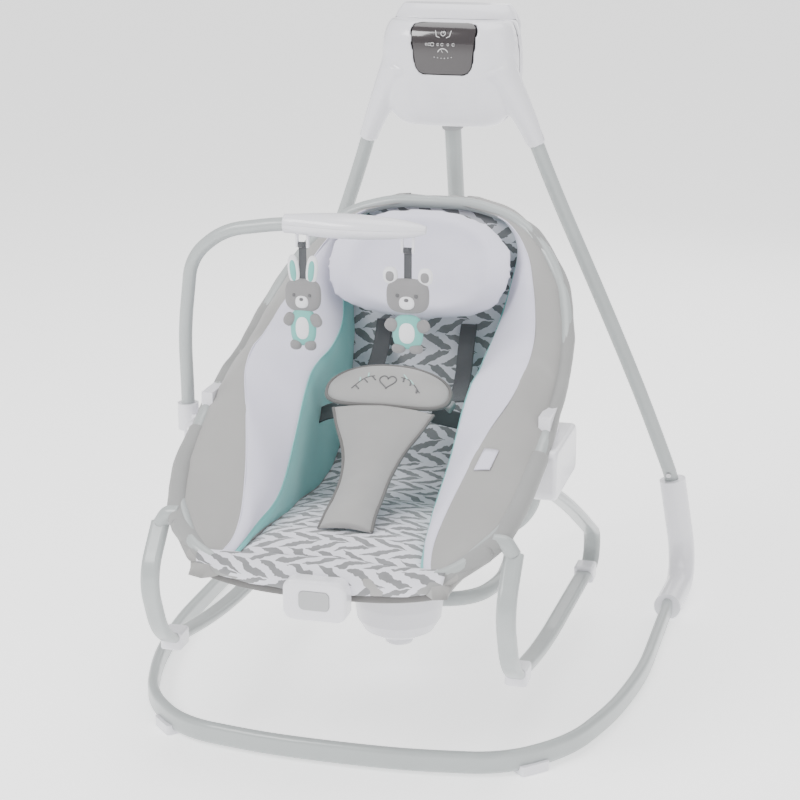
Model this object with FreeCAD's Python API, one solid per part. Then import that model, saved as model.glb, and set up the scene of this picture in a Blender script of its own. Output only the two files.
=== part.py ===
import FreeCAD, Part
import math
import os

# Baby cradle swing on a tube stand.  Millimetres, +Z up, the baby faces -Y,
# and the object is nearly symmetric about x = 0.  Lengths along Y are written
# from a working datum and moved by FOOTPRINT_MIDDLE_Y when a node is saved, so
# that the origin lies on the floor in the middle of the footprint.

V = FreeCAD.Vector
os.makedirs("parts", exist_ok=True)
FOOTPRINT_MIDDLE_Y = 13.5

# ---- clearances and walls ----
FIT = 0.1                      # radial room of a tube in its socket
SHAFT_FIT = 0.05               # radial room of a turning shaft
MOVING_GAP = 0.35              # room beside a piece that travels
SEAM = 0.2                     # gap of a moulded seam
TUBE_WALL = 1.2
HEAD_WALL = 2.6
BEND_SHARE = 0.45              # share of the shorter run that a bend takes

# ---- stand ----
LEG_RADIUS = 11.1
LEG_LEAN = 0.22                # backward lean of the leg plane, y per z
LEG_TOP = (101.0, 827.0)       # x, z of the leg line, from the head to the floor joint
LEG_KNEE = (155.0, 672.0)
LEG_MIDDLE = (228.0, 493.0)
LEG_LOW = (293.0, 325.0)
LEAN_DATUM = (306.0, 739.0)    # y, z where the leg plane is measured
BASE_HALF_WIDTH = 358.0
LEG_FOOT = (BASE_HALF_WIDTH - 17.0, 185.0)
LEG_END = (BASE_HALF_WIDTH - 6.0, 118.0)
BASE_MIDDLE_Z = 20.0
BASE_TUBE_HIGH = 31.0
BASE_TUBE_WIDE = 16.0
BASE_REAR_Y = 345.0
BASE_OUTLINE = [(BASE_HALF_WIDTH, 20.0), (338.0, -120.0), (300.0, -240.0), (225.0, -318.0), (100.0, -338.0)]
BASE_FRONT_Y = -341.0
COVER_RADIUS = 21.0
COVER_CORNER = (BASE_HALF_WIDTH + 9.0, 436.0, 24.0)
COVER_MOUTH_Y = 283.0
PAD_THICKNESS = 3.0
FOOT_PLACE = (256.0, -288.0)
FOOT_LENGTH = 44.0
FOOT_WIDTH = 24.0
SNAP_RADIUS = 4.0

# ---- head ----
HEAD_SECTIONS = [              # z, half width, front y, back y
    (764.0, 66.0, 276.0, 344.0), (774.0, 84.0, 264.0, 354.0), (800.0, 97.0, 256.0, 360.0),
    (840.0, 105.0, 249.0, 366.0), (880.0, 104.0, 245.0, 369.0), (908.0, 99.0, 248.0, 369.0),
    (922.0, 92.0, 262.0, 366.0)]
HANDLE_SECTIONS = [(900.0, 97.0, 300.0, 368.0), (928.0, 92.0, 308.0, 366.0), (942.0, 82.0, 320.0, 358.0)]
HEAD_SPLIT_Y = 306.0
SOCKET_STEPS = [(-1.0, 14.5, 0.0), (40.0, 17.5, 3.0), (80.0, 22.5, 9.0), (128.0, 32.0, 21.0)]   # up, radius, inward
DISPLAY_TOP_Z = 921.0
DISPLAY_BOTTOM_Z = 846.0
DISPLAY_TOP_HALF = 50.0
DISPLAY_BOTTOM_HALF = 41.0
DISPLAY_CORNER = 16.0
DISPLAY_BACK_Y = 262.0
BUTTON_RADIUS = 5.0
HEAD_BUTTONS = {"power_button": (0.0, 906.0), "melody_button": (-16.0, 890.0)}
SCREWS = [(70.0, 790.0), (-70.0, 790.0), (84.0, 868.0), (-84.0, 868.0)]   # x, z of the cover screws
DOOR_HALF = 62.0
DOOR_BOTTOM_Z = 842.0
DOOR_TOP_Z = 898.0
CELL_RADIUS = 16.2
CELL_LENGTH = 60.0
CELL_X = (-55.0, -18.4, 18.4, 55.0)
CELL_Y = 334.0
CELL_Z = 842.0
TRAY_WALL = 1.6

# ---- swing arm ----
PIVOT_Z = 800.0
BOARD_HALF = 78.0
BOARD_Y = 268.0
BOARD_THICK = 1.6
BOARD_LOW_Z = 838.0
BOARD_TOP_Z = 912.0
SHAFT_RADIUS = 6.0
SHAFT_FRONT_Y = 266.0
SHAFT_BACK_Y = 348.0
BUSH_RADIUS = SHAFT_RADIUS + 3.0
PLATE_THICKNESS = 4.0
PLATE_FRONT_Y = 268.0
PLATE_BACK_Y = 341.0
GEAR_RADIUS = 26.0
PINION_RADIUS = 7.0
GEAR_Y = 275.0
GEAR_WIDTH = 6.0
MOTOR_RADIUS = 14.0
ARM_RADIUS = 12.7
ARM_LEAN = 0.24                # y per z of the upper tube
ARM_TOP = (314.0, 756.0)       # y, z where the arm leaves the head
ARM_TUBE_TOP_Z = 776.0
ARM_JOINT_Z = 330.0            # bottom of the upper tube
LOWER_ARM_RADIUS = ARM_RADIUS - 1.6
LOWER_ARM_TOP_Z = 400.0
ARM_BEND_Z = 215.0
ARM_SWEEP = [(12.0, 444.0, 130.0), (62.0, 368.0, 105.0), (118.0, 250.0, 105.0),
             (128.0, 118.0, 105.0), (104.0, 36.0, 105.0), (18.0, 10.0, 105.0)]
SLEEVE_RADIUS = ARM_RADIUS + 3.8
HUB_X = 5.0
HUB_Y = -25.0
HUB_PROFILE = [(0.0, 68.0), (36.0, 68.0), (52.0, 77.0), (62.0, 94.0), (65.0, 118.0)]
HUB_TOP_Z = 149.7
SPIGOT_RADIUS = 30.0
SPIGOT_TOP_Z = 176.0
RELEASE_RADIUS = 21.0
RELEASE_BOTTOM_Z = 52.0
RELEASE_TRAVEL = 4.0

# ---- seat, measured round a centre line that runs along X ----
BOWL_Y = -100.0
BOWL_Z = 620.0
PAD_THICK = 22.0
RIM_TUBE_RADIUS = 9.5
# angle, then half width and radius of: pad edge, inner seam, crest, rim
STATIONS = [
    (-133.5, 150, 446, 151, 440, 158, 430, 178, 424), (-130, 130, 425, 119, 385, 128, 316, 222, 366),
    (-127.5, 122, 402, 106, 356, 152, 262, 234, 334), (-123, 118, 376, 100, 334, 168, 221, 245, 281),
    (-115, 115, 350, 97, 300, 181, 186, 248, 236), (-102, 116, 332, 111, 208, 191, 151, 250, 191),
    (-90, 118, 330, 114, 182, 195, 136, 249, 172), (-75, 118, 348, 116, 168, 197, 128, 248, 162),
    (-60, 118, 360, 117, 178, 195, 135, 245, 168), (-45, 118, 340, 114, 206, 192, 146, 241, 177),
    (-30, 116, 313, 113, 238, 185, 164, 234, 197), (-15, 116, 305, 118, 250, 170, 196, 218, 229),
    (-3, 118, 309, 124, 264, 148, 240, 186, 256), (5, 92, 314, 98, 292, 112, 276, 138, 280)]
BACK_TOP = (10.0, 40.0, 311.0)     # angle, half width and radius of the top of the back
PAD_EDGE_GAP = 1.0
PAD_SPLIT_ANGLE = -57.0
RIM_TOP = (8.5, 288.0)             # angle, radius of the rim at the top centre
RIM_FRONT = (-392.0, 287.0)        # y, z of the rim tube across the front
MOUNT_PROFILE = [(0.0, 150.0), (65.0, 150.0), (66.0, 190.0), (54.0, 236.0), (42.0, 258.0), (0.0, 258.0)]
CROSS_RADIUS = 9.5
CROSS_Y = -60.0
CROSS_LINE = [(213.0, 372.0), (209.0, 272.0), (120.0, 231.0)]
ROCKER_X = 238.0
ROCKER_WIDE = 26.0
ROCKER_THICK = 13.5
ROCKER_LINE = [(-338.0, 322.0), (-392.0, 262.0), (-346.0, 152.0), (-130.0, 112.0), (90.0, 101.0),
               (268.0, 91.0), (277.0, 138.0), (60.0, 254.0), (-150.0, 352.0)]
ROCKER_FEET_Y = (-300.0, 214.0)
SIDE_HUB = (-184.0, -30.0, 340.0, 410.0)     # front y, back y, low z, high z
SIDE_HUB_INNER = 226.0
SIDE_HUB_OUTER = 262.0
HUB_ARM_INNER = 201.0
HUB_ARM_TOP_Z = 384.0
CLAMP_BOX = (-351.0, -327.0, 314.0, 349.0)   # front y, back y, low z, high z
CLAMP_X = (205.0, 247.0)
CUSHION_FRONT_ANGLE = -128.5
RIM_INSET = 29.0                             # from the rim's outer edge to the bolster
VIBE_HALF = 42.0
VIBE_FRONT_Y = -427.0
VIBE_BACK_Y = -402.0
VIBE_BOTTOM_Z = 240.0
VIBE_TOP_Z = 295.0
VIBE_BUTTON_HALF = 20.0
VIBE_BUTTON_Z = (256.0, 281.0)
VIBE_WALL = 2.4

# ---- soft goods ----
HEADREST_CENTRE = (133.0, 582.0)   # y, z
HEADREST_HALF = (130.0, 84.0)
HEADREST_THICK = 24.0
HEADREST_LEAN = 20.0               # degrees back from upright
TUMMY_CENTRE = (-62.0, 446.0)
TUMMY_HALF = (89.0, 34.0)
TUMMY_THICK = 16.0
TUMMY_TILT = 38.0
CROTCH_LINE = [(-288.0, 331.0), (-235.0, 342.0), (-188.0, 362.0), (-150.0, 385.0), (-104.0, 424.0)]
CROTCH_HALF = [36.0, 33.0, 33.0, 44.0, 66.0]
CROTCH_THICK = 9.0
STRAP_THICK = 2.0
STRAP_WIDE = 25.0

# ---- toy bar ----
BAR_X = -285.0
BAR_Y = -100.0
BAR_RADIUS = 9.5
BAR_LINE = [(-285.0, 388.0), (-287.0, 520.0), (-274.0, 628.0), (-226.0, 668.0), (-150.0, 680.0), (-112.0, 682.0)]
SOCKET_BOTTOM_Z = 378.0
SOCKET_TOP_Z = 416.0
SOCKET_RADIUS = BAR_RADIUS + 5.5
TRAY_LEFT = -137.0
TRAY_RIGHT = 62.0
TRAY_Z = 682.0
TRAY_STEPS = [(0.0, 13.0, 13.0), (0.16, 16.0, 15.0), (0.34, 23.0, 17.0), (0.62, 24.0, 16.0),
              (0.86, 17.0, 12.0), (1.0, 6.0, 5.0)]   # share of the length, half depth, half height
TOYS = {"bunny": (-112.0, 31.0, 505.0, 134.0), "bear": (37.0, 36.0, 510.0, 122.0)}   # x, half width, low z, height
TOY_THICK = 16.0
TOY_STRAP = (11.0, 2.0)
HANG_Z = 653.0              # axis the toys swing about
HANG_PIN_RADIUS = 2.2
HANG_LOOP_RADIUS = 4.4
HANG_CHEEK_IN = 6.2         # the loop hangs between two cheeks
HANG_CHEEK_OUT = 9.2
HANG_CHEEK_HALF_DEPTH = 3.0
HANG_CHEEK_LOW_Z = 649.8
HANG_CHEEK_TOP_Z = 672.0


def polar(angle, radius):
    """Point (y, z) of the seat bowl at an angle in degrees and a radius."""
    turn = math.radians(angle)
    return BOWL_Y + radius * math.cos(turn), BOWL_Z + radius * math.sin(turn)


def mirror(shape):
    """The same shape on the other side of x = 0."""
    return shape.mirror(V(0, 0, 0), V(1, 0, 0))


def save(name, *solids):
    """Write one node, moved so that the footprint's middle is at y = 0."""
    shape = solids[0] if len(solids) == 1 else Part.makeCompound(list(solids))
    shape = shape.copy()
    shape.translate(V(0, -FOOTPRINT_MIDDLE_Y, 0))
    if not shape.isValid() or shape.Volume <= 0:
        print("check", name, shape.isValid(), round(shape.Volume, 1))
    shape.exportStep(os.path.join("parts", name + ".step"))


def bent_path(points, share=BEND_SHARE):
    """Straight runs joined by tangent arcs through a list of points."""
    points = [V(*p) for p in points]
    edges = []
    start = points[0]
    for before, corner, after in zip(points, points[1:], points[2:]):
        back = before - corner
        ahead = after - corner
        run = share * min(back.Length, ahead.Length)
        back.normalize()
        ahead.normalize()
        half_turn = (math.pi - back.getAngle(ahead)) / 2
        if half_turn < 1e-3:
            continue
        radius = run / math.tan(half_turn)
        middle = back + ahead
        middle.normalize()
        top = corner + middle * (radius / math.cos(half_turn) - radius)
        edges.append(Part.LineSegment(start, corner + back * run).toShape())
        edges.append(Part.Arc(corner + back * run, top, corner + ahead * run).toShape())
        start = corner + ahead * run
    edges.append(Part.LineSegment(start, points[-1]).toShape())
    return Part.Wire(edges)


def swept(path, section, up=None):
    """Solid swept along a path; up keeps a flat section upright."""
    maker = Part.BRepOffsetAPI.MakePipeShell(path)
    if up is None:
        maker.setFrenetMode(False)
    else:
        maker.setBiNormalMode(up)
    maker.add(section)
    maker.build()
    maker.makeSolid()
    return maker.shape()


def round_bar(points, radius, share=BEND_SHARE):
    """Solid round bar along a bent path."""
    path = bent_path(points, share)
    first = V(*points[0])
    return swept(path, Part.Wire(Part.makeCircle(radius, first, V(*points[1]) - first)))


def round_tube(points, radius):
    """Hollow round tube along a bent path."""
    return round_bar(points, radius).cut(round_bar(points, radius - TUBE_WALL))


def oval_wire(centre, wide_dir, high_dir, wide, high):
    """Slot-shaped wire: straight along its longer side, round at both ends."""
    longer, shorter, along, across = (wide, high, wide_dir, high_dir)
    if high > wide:
        longer, shorter, along, across = (high, wide, high_dir, wide_dir)
    reach = (longer - shorter) / 2
    radius = shorter / 2
    a = centre - along * reach - across * radius
    b = centre + along * reach - across * radius
    c = centre + along * reach + across * radius
    d = centre - along * reach + across * radius
    return Part.Wire([
        Part.LineSegment(a, b).toShape(), Part.Arc(b, centre + along * (reach + radius), c).toShape(),
        Part.LineSegment(c, d).toShape(), Part.Arc(d, centre - along * (reach + radius), a).toShape()])


def oval_tube(points, wide_dir, wide, high, up, hollow=True, grow=0.0):
    """Tube of slot-shaped section along a flat bent path."""
    path = bent_path(points)
    first = V(*points[0])
    tangent = V(*points[1]) - first
    tangent.normalize()
    high_dir = wide_dir.cross(tangent)
    high_dir.normalize()
    outer = swept(path, oval_wire(first, wide_dir, high_dir, wide + 2 * grow, high + 2 * grow), up)
    if not hollow:
        return outer
    wall = 2 * TUBE_WALL
    return outer.cut(swept(path, oval_wire(first, wide_dir, high_dir, wide - wall, high - wall), up))


def box(x0, x1, y0, y1, z0, z1):
    """Box between two corners."""
    return Part.makeBox(x1 - x0, y1 - y0, z1 - z0, V(x0, y0, z0))


def rod(start, end, radius):
    """Cylinder from one point to another."""
    start = V(*start)
    axis = V(*end) - start
    return Part.makeCylinder(radius, axis.Length, start, axis)


def rounded_section(z, half, front, back, shrink=0.0, power=3.2, count=20):
    """Closed rounded outline at height z, between a front and a back y."""
    middle = (front + back) / 2
    deep = (back - front) / 2 - shrink
    wide = half - shrink
    points = []
    for i in range(count):
        turn = 2 * math.pi * i / count
        c, s = math.cos(turn), math.sin(turn)
        x = wide * math.copysign(abs(c) ** (2 / power), c)
        y = deep * math.copysign(abs(s) ** (2 / power), s)
        points.append(V(x, middle + y, z))
    curve = Part.BSplineCurve()
    curve.interpolate(points, PeriodicFlag=True)
    return Part.Wire(curve.toShape())


def revolved(profile, x, y):
    """Solid turned about the vertical line through x, y from (radius, z) points."""
    points = [V(x + radius, y, z) for radius, z in profile]
    face = Part.Face(Part.makePolygon(points + [points[0]]))
    return face.revolve(V(x, y, 0), V(0, 0, 1), 360)


def leg_point(place):
    """Point of the right leg line from its (x, z)."""
    lean_y, lean_z = LEAN_DATUM
    return place[0], lean_y + LEG_LEAN * (lean_z - place[1]), place[1]


def prism_y(outline, y0, y1):
    """Prism along Y from a closed list of (x, z) points."""
    points = [V(x, y0, z) for x, z in outline]
    return Part.Face(Part.makePolygon(points + [points[0]])).extrude(V(0, y1 - y0, 0))


def filleted(shape, radius, choose):
    """Round the edges that choose picks."""
    return shape.makeFillet(radius, [e for e in shape.Edges if choose(e)])


def runs_along(edge, axis):
    """Whether a straight edge runs along an axis."""
    ends = edge.Vertexes
    if len(ends) < 2:
        return False
    run = ends[1].Point - ends[0].Point
    return run.Length > 1e-6 and abs(abs(run.dot(axis)) - run.Length) < 1e-3


# ======================= stand =======================
def build_stand():
    """Base tube, legs, floor joints, feet and snap buttons."""
    line = [(BASE_HALF_WIDTH, BASE_REAR_Y)] + BASE_OUTLINE + [(0.0, BASE_FRONT_Y)]
    line += [(-x, y) for x, y in reversed(BASE_OUTLINE)] + [(-BASE_HALF_WIDTH, BASE_REAR_Y)]
    points = [(x, y, BASE_MIDDLE_Z) for x, y in line]
    across = V(1, 0, 0)
    base = oval_tube(points, across, BASE_TUBE_WIDE, BASE_TUBE_HIGH, V(0, 0, 1))
    room = oval_tube(points, across, BASE_TUBE_WIDE, BASE_TUBE_HIGH, V(0, 0, 1), False, FIT)
    save("base_tube", base)
    legs = [leg_point(p) for p in (LEG_TOP, LEG_KNEE, LEG_MIDDLE, LEG_LOW, LEG_FOOT, LEG_END)]
    leg = round_tube(legs, LEG_RADIUS)
    leg_room = round_bar(legs, LEG_RADIUS + FIT)
    foot_top = legs[4]
    cover = round_bar([foot_top, COVER_CORNER, (BASE_HALF_WIDTH, COVER_MOUTH_Y, BASE_MIDDLE_Z + 2)], COVER_RADIUS)
    cover = cover.cut(box(0, 500, 0, 600, -50, PAD_THICKNESS)).cut(room).cut(leg_room)
    pad = box(COVER_CORNER[0] - 12, COVER_CORNER[0] + 8, 330, 404, 0, PAD_THICKNESS)
    pad = filleted(pad, 6, lambda e: runs_along(e, V(0, 0, 1)))
    axis = V(*legs[4]) - V(*legs[3])
    axis.normalize()
    snap_at = V(*legs[4]) - axis * 14
    outward = axis.cross(V(1, 0, 0))
    outward.normalize()
    snap = rod(snap_at + outward * (LEG_RADIUS - TUBE_WALL), snap_at + outward * (LEG_RADIUS + 2.5), SNAP_RADIUS)
    leg = leg.cut(rod(snap_at, snap_at + outward * 30, SNAP_RADIUS + FIT))
    for side, flip in (("right", False), ("left", True)):
        save(side + "_leg_tube", mirror(leg) if flip else leg)
        save(side + "_joint_cover", mirror(cover) if flip else cover)
    save("rear_floor_pads", pad, mirror(pad))
    save("leg_snap_buttons", snap, mirror(snap))
    foot = box(-FOOT_LENGTH / 2, FOOT_LENGTH / 2, -FOOT_WIDTH / 2, FOOT_WIDTH / 2, 0, 14)
    foot = filleted(foot, 5, lambda e: runs_along(e, V(0, 0, 1)))
    foot.rotate(V(0, 0, 0), V(0, 0, 1), 45)
    foot.translate(V(FOOT_PLACE[0], FOOT_PLACE[1], 0))
    foot = foot.cut(room)
    foot = max(foot.Solids, key=lambda s: s.Volume)
    save("front_feet", foot, mirror(foot))
    return leg_room


# ======================= head =======================
def display_outline(grow):
    """Rounded trapezoid of the display, as (x, z) points."""
    top, low = DISPLAY_TOP_HALF + grow, DISPLAY_BOTTOM_HALF + grow
    corners = [(low, DISPLAY_BOTTOM_Z - grow), (top, DISPLAY_TOP_Z + grow),
               (-top, DISPLAY_TOP_Z + grow), (-low, DISPLAY_BOTTOM_Z - grow)]
    outline = []
    for i, corner in enumerate(corners):
        before, after = corners[i - 1], corners[(i + 1) % 4]
        ends = []
        for other in (before, after):
            length = math.dist(corner, other)
            share = DISPLAY_CORNER / length
            ends.append((corner[0] + (other[0] - corner[0]) * share, corner[1] + (other[1] - corner[1]) * share))
        for step in range(6):
            t = step / 5
            outline.append(tuple((1 - t) ** 2 * ends[0][k] + 2 * t * (1 - t) * corner[k] + t * t * ends[1][k]
                                 for k in range(2)))
    return outline


def build_head(leg_room):
    """Housing covers, display, buttons, battery door and the drive inside."""
    outer = Part.makeLoft([rounded_section(*s) for s in HEAD_SECTIONS], True, False)
    inner_rows = [(z + (HEAD_WALL if i == 0 else -HEAD_WALL if i == len(HEAD_SECTIONS) - 1 else 0), h, f, b)
                  for i, (z, h, f, b) in enumerate(HEAD_SECTIONS)]
    inner = Part.makeLoft([rounded_section(*s, HEAD_WALL) for s in inner_rows], True, False)
    exit_point = V(*leg_point((132.0, 738.0)))
    up = V(*leg_point(LEG_TOP)) - V(*leg_point(LEG_KNEE))
    up.normalize()
    rings = [Part.Wire(Part.makeCircle(r, exit_point + up * d - V(inward, 0, 0), up)) for d, r, inward in SOCKET_STEPS]
    arm = Part.makeLoft(rings, True, False)
    body = outer.fuse(arm).fuse(mirror(arm))
    body = body.cut(inner).cut(leg_room).cut(mirror(leg_room))
    slot = box(-30, 30, 288, 338, 700, 792)
    body = body.cut(slot)
    front_half = box(-300, 300, 0, HEAD_SPLIT_Y - SEAM / 2, 600, 1100)
    back_half = box(-300, 300, HEAD_SPLIT_Y + SEAM / 2, 600, 600, 1100)
    shell = outer.cut(inner)
    display = shell.common(prism_y(display_outline(0), 200, DISPLAY_BACK_Y))
    front = body.common(front_half).cut(prism_y(display_outline(SEAM), 200, DISPLAY_BACK_Y))
    for name, (x, z) in HEAD_BUTTONS.items():
        hole = rod((x, 200, z), (x, DISPLAY_BACK_Y + 20, z), BUTTON_RADIUS + MOVING_GAP)
        skin = shell.common(rod((x, 200, z), (x, DISPLAY_BACK_Y, z), BUTTON_RADIUS))
        back_y = skin.optimalBoundingBox().YMax
        stem = rod((x, 200, z), (x, back_y + 3, z), BUTTON_RADIUS - 2).common(outer)
        display = display.cut(hole)
        save(name, skin.fuse(stem).removeSplitter())
    save("display_panel", display)
    door_shape = box(-DOOR_HALF, DOOR_HALF, 355, 420, DOOR_BOTTOM_Z, DOOR_TOP_Z)
    door = shell.common(door_shape)
    gap = MOVING_GAP
    opening = box(-DOOR_HALF - gap, DOOR_HALF + gap, 355, 420, DOOR_BOTTOM_Z - gap, DOOR_TOP_Z + gap)
    back = body.common(back_half).cut(opening)
    save("battery_door", door)
    handle = Part.makeLoft([rounded_section(*s) for s in HANDLE_SECTIONS], True, False).cut(outer)
    handle = max(handle.Solids, key=lambda s: s.Volume)
    save("top_handle", handle)
    screws = []
    for x, z in SCREWS:
        shank = rod((x, HEAD_SPLIT_Y - 14, z), (x, 372, z), 2.0)
        boss = rod((x, 200, z), (x, HEAD_SPLIT_Y - SEAM / 2, z), 5.0).common(outer)
        back_boss = rod((x, HEAD_SPLIT_Y + SEAM / 2, z), (x, 352, z), 5.0)
        front = front.fuse(boss.cut(shank))
        back = back.fuse(back_boss).cut(shank).cut(rod((x, 350, z), (x, 420, z), 4.0))
        screw = rod((x, HEAD_SPLIT_Y - 14, z), (x, 347, z), 2.0 - FIT)
        head = rod((x, 350.0, z), (x, 353, z), 4.0 - FIT)
        neck = rod((x, 346, z), (x, 350.5, z), 2.0 - FIT)
        screws.append(screw.fuse([head, neck]).removeSplitter())
    save("head_front_cover", front)
    save("head_rear_cover", back)
    save("cover_screws", *screws)
    hole = rod((0, 200, PIVOT_Z), (0, 420, PIVOT_Z), BUSH_RADIUS)
    plates = []
    bushes = []
    for y in (PLATE_FRONT_Y, PLATE_BACK_Y):
        plate = box(-120, 120, y, y + PLATE_THICKNESS, PIVOT_Z - 22, PIVOT_Z + 22).common(inner)
        plate = plate.cut(hole)
        for x, z in SCREWS:
            plate = plate.cut(rod((x, 200, z), (x, 420, z), 5.0 + FIT))
        plates.append(plate)
        ring = rod((0, y - 1, PIVOT_Z), (0, y + PLATE_THICKNESS + 1, PIVOT_Z), BUSH_RADIUS - SHAFT_FIT)
        bushes.append(ring.cut(rod((0, 200, PIVOT_Z), (0, 420, PIVOT_Z), SHAFT_RADIUS + SHAFT_FIT)))
    motor_x = GEAR_RADIUS + PINION_RADIUS + MOVING_GAP
    motor_front = PLATE_BACK_Y - 30
    motor = rod((motor_x, motor_front, PIVOT_Z), (motor_x, PLATE_BACK_Y, PIVOT_Z), MOTOR_RADIUS)
    bore = rod((motor_x, 200, PIVOT_Z), (motor_x, PLATE_BACK_Y - 6, PIVOT_Z), 1.5 + SHAFT_FIT)
    save("drive_motor", motor.cut(bore))
    pinion = rod((motor_x, GEAR_Y, PIVOT_Z), (motor_x, GEAR_Y + GEAR_WIDTH, PIVOT_Z), PINION_RADIUS)
    pinion = pinion.fuse(rod((motor_x, GEAR_Y, PIVOT_Z), (motor_x, PLATE_BACK_Y - 7, PIVOT_Z), 1.5))
    save("motor_pinion", pinion.removeSplitter())
    save("pivot_plates", *plates)
    save("pivot_bushes", *bushes)
    board = box(-BOARD_HALF, BOARD_HALF, BOARD_Y, BOARD_Y + BOARD_THICK, BOARD_LOW_Z, BOARD_TOP_Z).common(inner)
    for x, z in SCREWS:
        board = board.cut(rod((x, 200, z), (x, 420, z), 5.0 + FIT))
    save("circuit_board", board)
    cells = [rod((x, CELL_Y, CELL_Z), (x, CELL_Y, CELL_Z + CELL_LENGTH), CELL_RADIUS) for x in CELL_X]
    half = CELL_X[-1] + CELL_RADIUS + 1
    wall = TRAY_WALL
    tray = box(-half - wall, half + wall, CELL_Y - 19, CELL_Y + 18, CELL_Z - wall - 0.2, CELL_Z + CELL_LENGTH + 2)
    tray = tray.cut(box(-half, half, CELL_Y - 19 + wall, 420, CELL_Z - 0.2, CELL_Z + CELL_LENGTH + 0.4))
    save("battery_tray", tray)
    save("batteries", *cells)


# ======================= swing arm =======================
def arm_point(z):
    """Point of the straight part of the arm at height z."""
    return 0.0, ARM_TOP[0] + ARM_LEAN * (ARM_TOP[1] - z), z


def build_arm():
    """Shaft, drive gear, yoke, the two telescoped tubes and the seat hub."""
    shaft = rod((0, SHAFT_FRONT_Y, PIVOT_Z), (0, SHAFT_BACK_Y, PIVOT_Z), SHAFT_RADIUS)
    save("pivot_shaft", shaft)
    shaft_room = rod((0, 200, PIVOT_Z), (0, 420, PIVOT_Z), SHAFT_RADIUS + SHAFT_FIT)
    gear = rod((0, GEAR_Y, PIVOT_Z), (0, GEAR_Y + GEAR_WIDTH, PIVOT_Z), GEAR_RADIUS)
    save("drive_gear", gear.cut(shaft_room))
    upper_line = (arm_point(ARM_TUBE_TOP_Z), arm_point(ARM_JOINT_Z))
    upper = rod(*upper_line, ARM_RADIUS)
    inner_radius = LOWER_ARM_RADIUS + FIT
    boss = rod((0, 288, PIVOT_Z), (0, 326, PIVOT_Z), SLEEVE_RADIUS)
    sleeve = rod(arm_point(PIVOT_Z), arm_point(758.0), SLEEVE_RADIUS)
    yoke = boss.fuse(sleeve).removeSplitter()
    yoke = yoke.cut(rod(upper_line[0], upper_line[1], ARM_RADIUS + FIT)).cut(shaft_room)
    save("arm_yoke", yoke)
    upper = upper.cut(rod(*upper_line, inner_radius))
    lower_points = [arm_point(LOWER_ARM_TOP_Z), arm_point(ARM_BEND_Z)] + ARM_SWEEP
    lower = round_tube(lower_points, LOWER_ARM_RADIUS)
    lower_room = round_bar(lower_points, LOWER_ARM_RADIUS + FIT)
    snap_at = arm_point(ARM_JOINT_Z + 30)
    back = (0.0, snap_at[1] + ARM_RADIUS + 2.5, snap_at[2])
    hole = rod(snap_at, (0.0, snap_at[1] + 40, snap_at[2]), SNAP_RADIUS + FIT)
    snap = rod((0.0, snap_at[1] + LOWER_ARM_RADIUS - TUBE_WALL, snap_at[2]), back, SNAP_RADIUS)
    save("upper_arm_tube", upper.cut(hole))
    save("lower_arm_tube", lower.cut(hole))
    save("arm_snap_button", snap)
    hub = revolved(HUB_PROFILE + [(HUB_PROFILE[-1][0], HUB_TOP_Z), (0.0, HUB_TOP_Z)], HUB_X, HUB_Y)
    spigot = rod((HUB_X, HUB_Y, HUB_TOP_Z - 10), (HUB_X, HUB_Y, SPIGOT_TOP_Z), SPIGOT_RADIUS)
    hub = hub.fuse(spigot).removeSplitter().cut(lower_room)
    pocket_top = HUB_PROFILE[0][1] + RELEASE_TRAVEL + 6
    pocket = rod((HUB_X, HUB_Y, 0), (HUB_X, HUB_Y, pocket_top), RELEASE_RADIUS + MOVING_GAP)
    save("seat_hub", hub.cut(pocket))
    low = RELEASE_BOTTOM_Z
    release = rod((HUB_X, HUB_Y, low), (HUB_X, HUB_Y, pocket_top - RELEASE_TRAVEL - 1), RELEASE_RADIUS)
    release = filleted(release, 5, lambda e: abs(e.BoundBox.ZMax - low) < 0.01 and e.BoundBox.ZLength < 0.01)
    save("seat_release_button", release)


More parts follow.
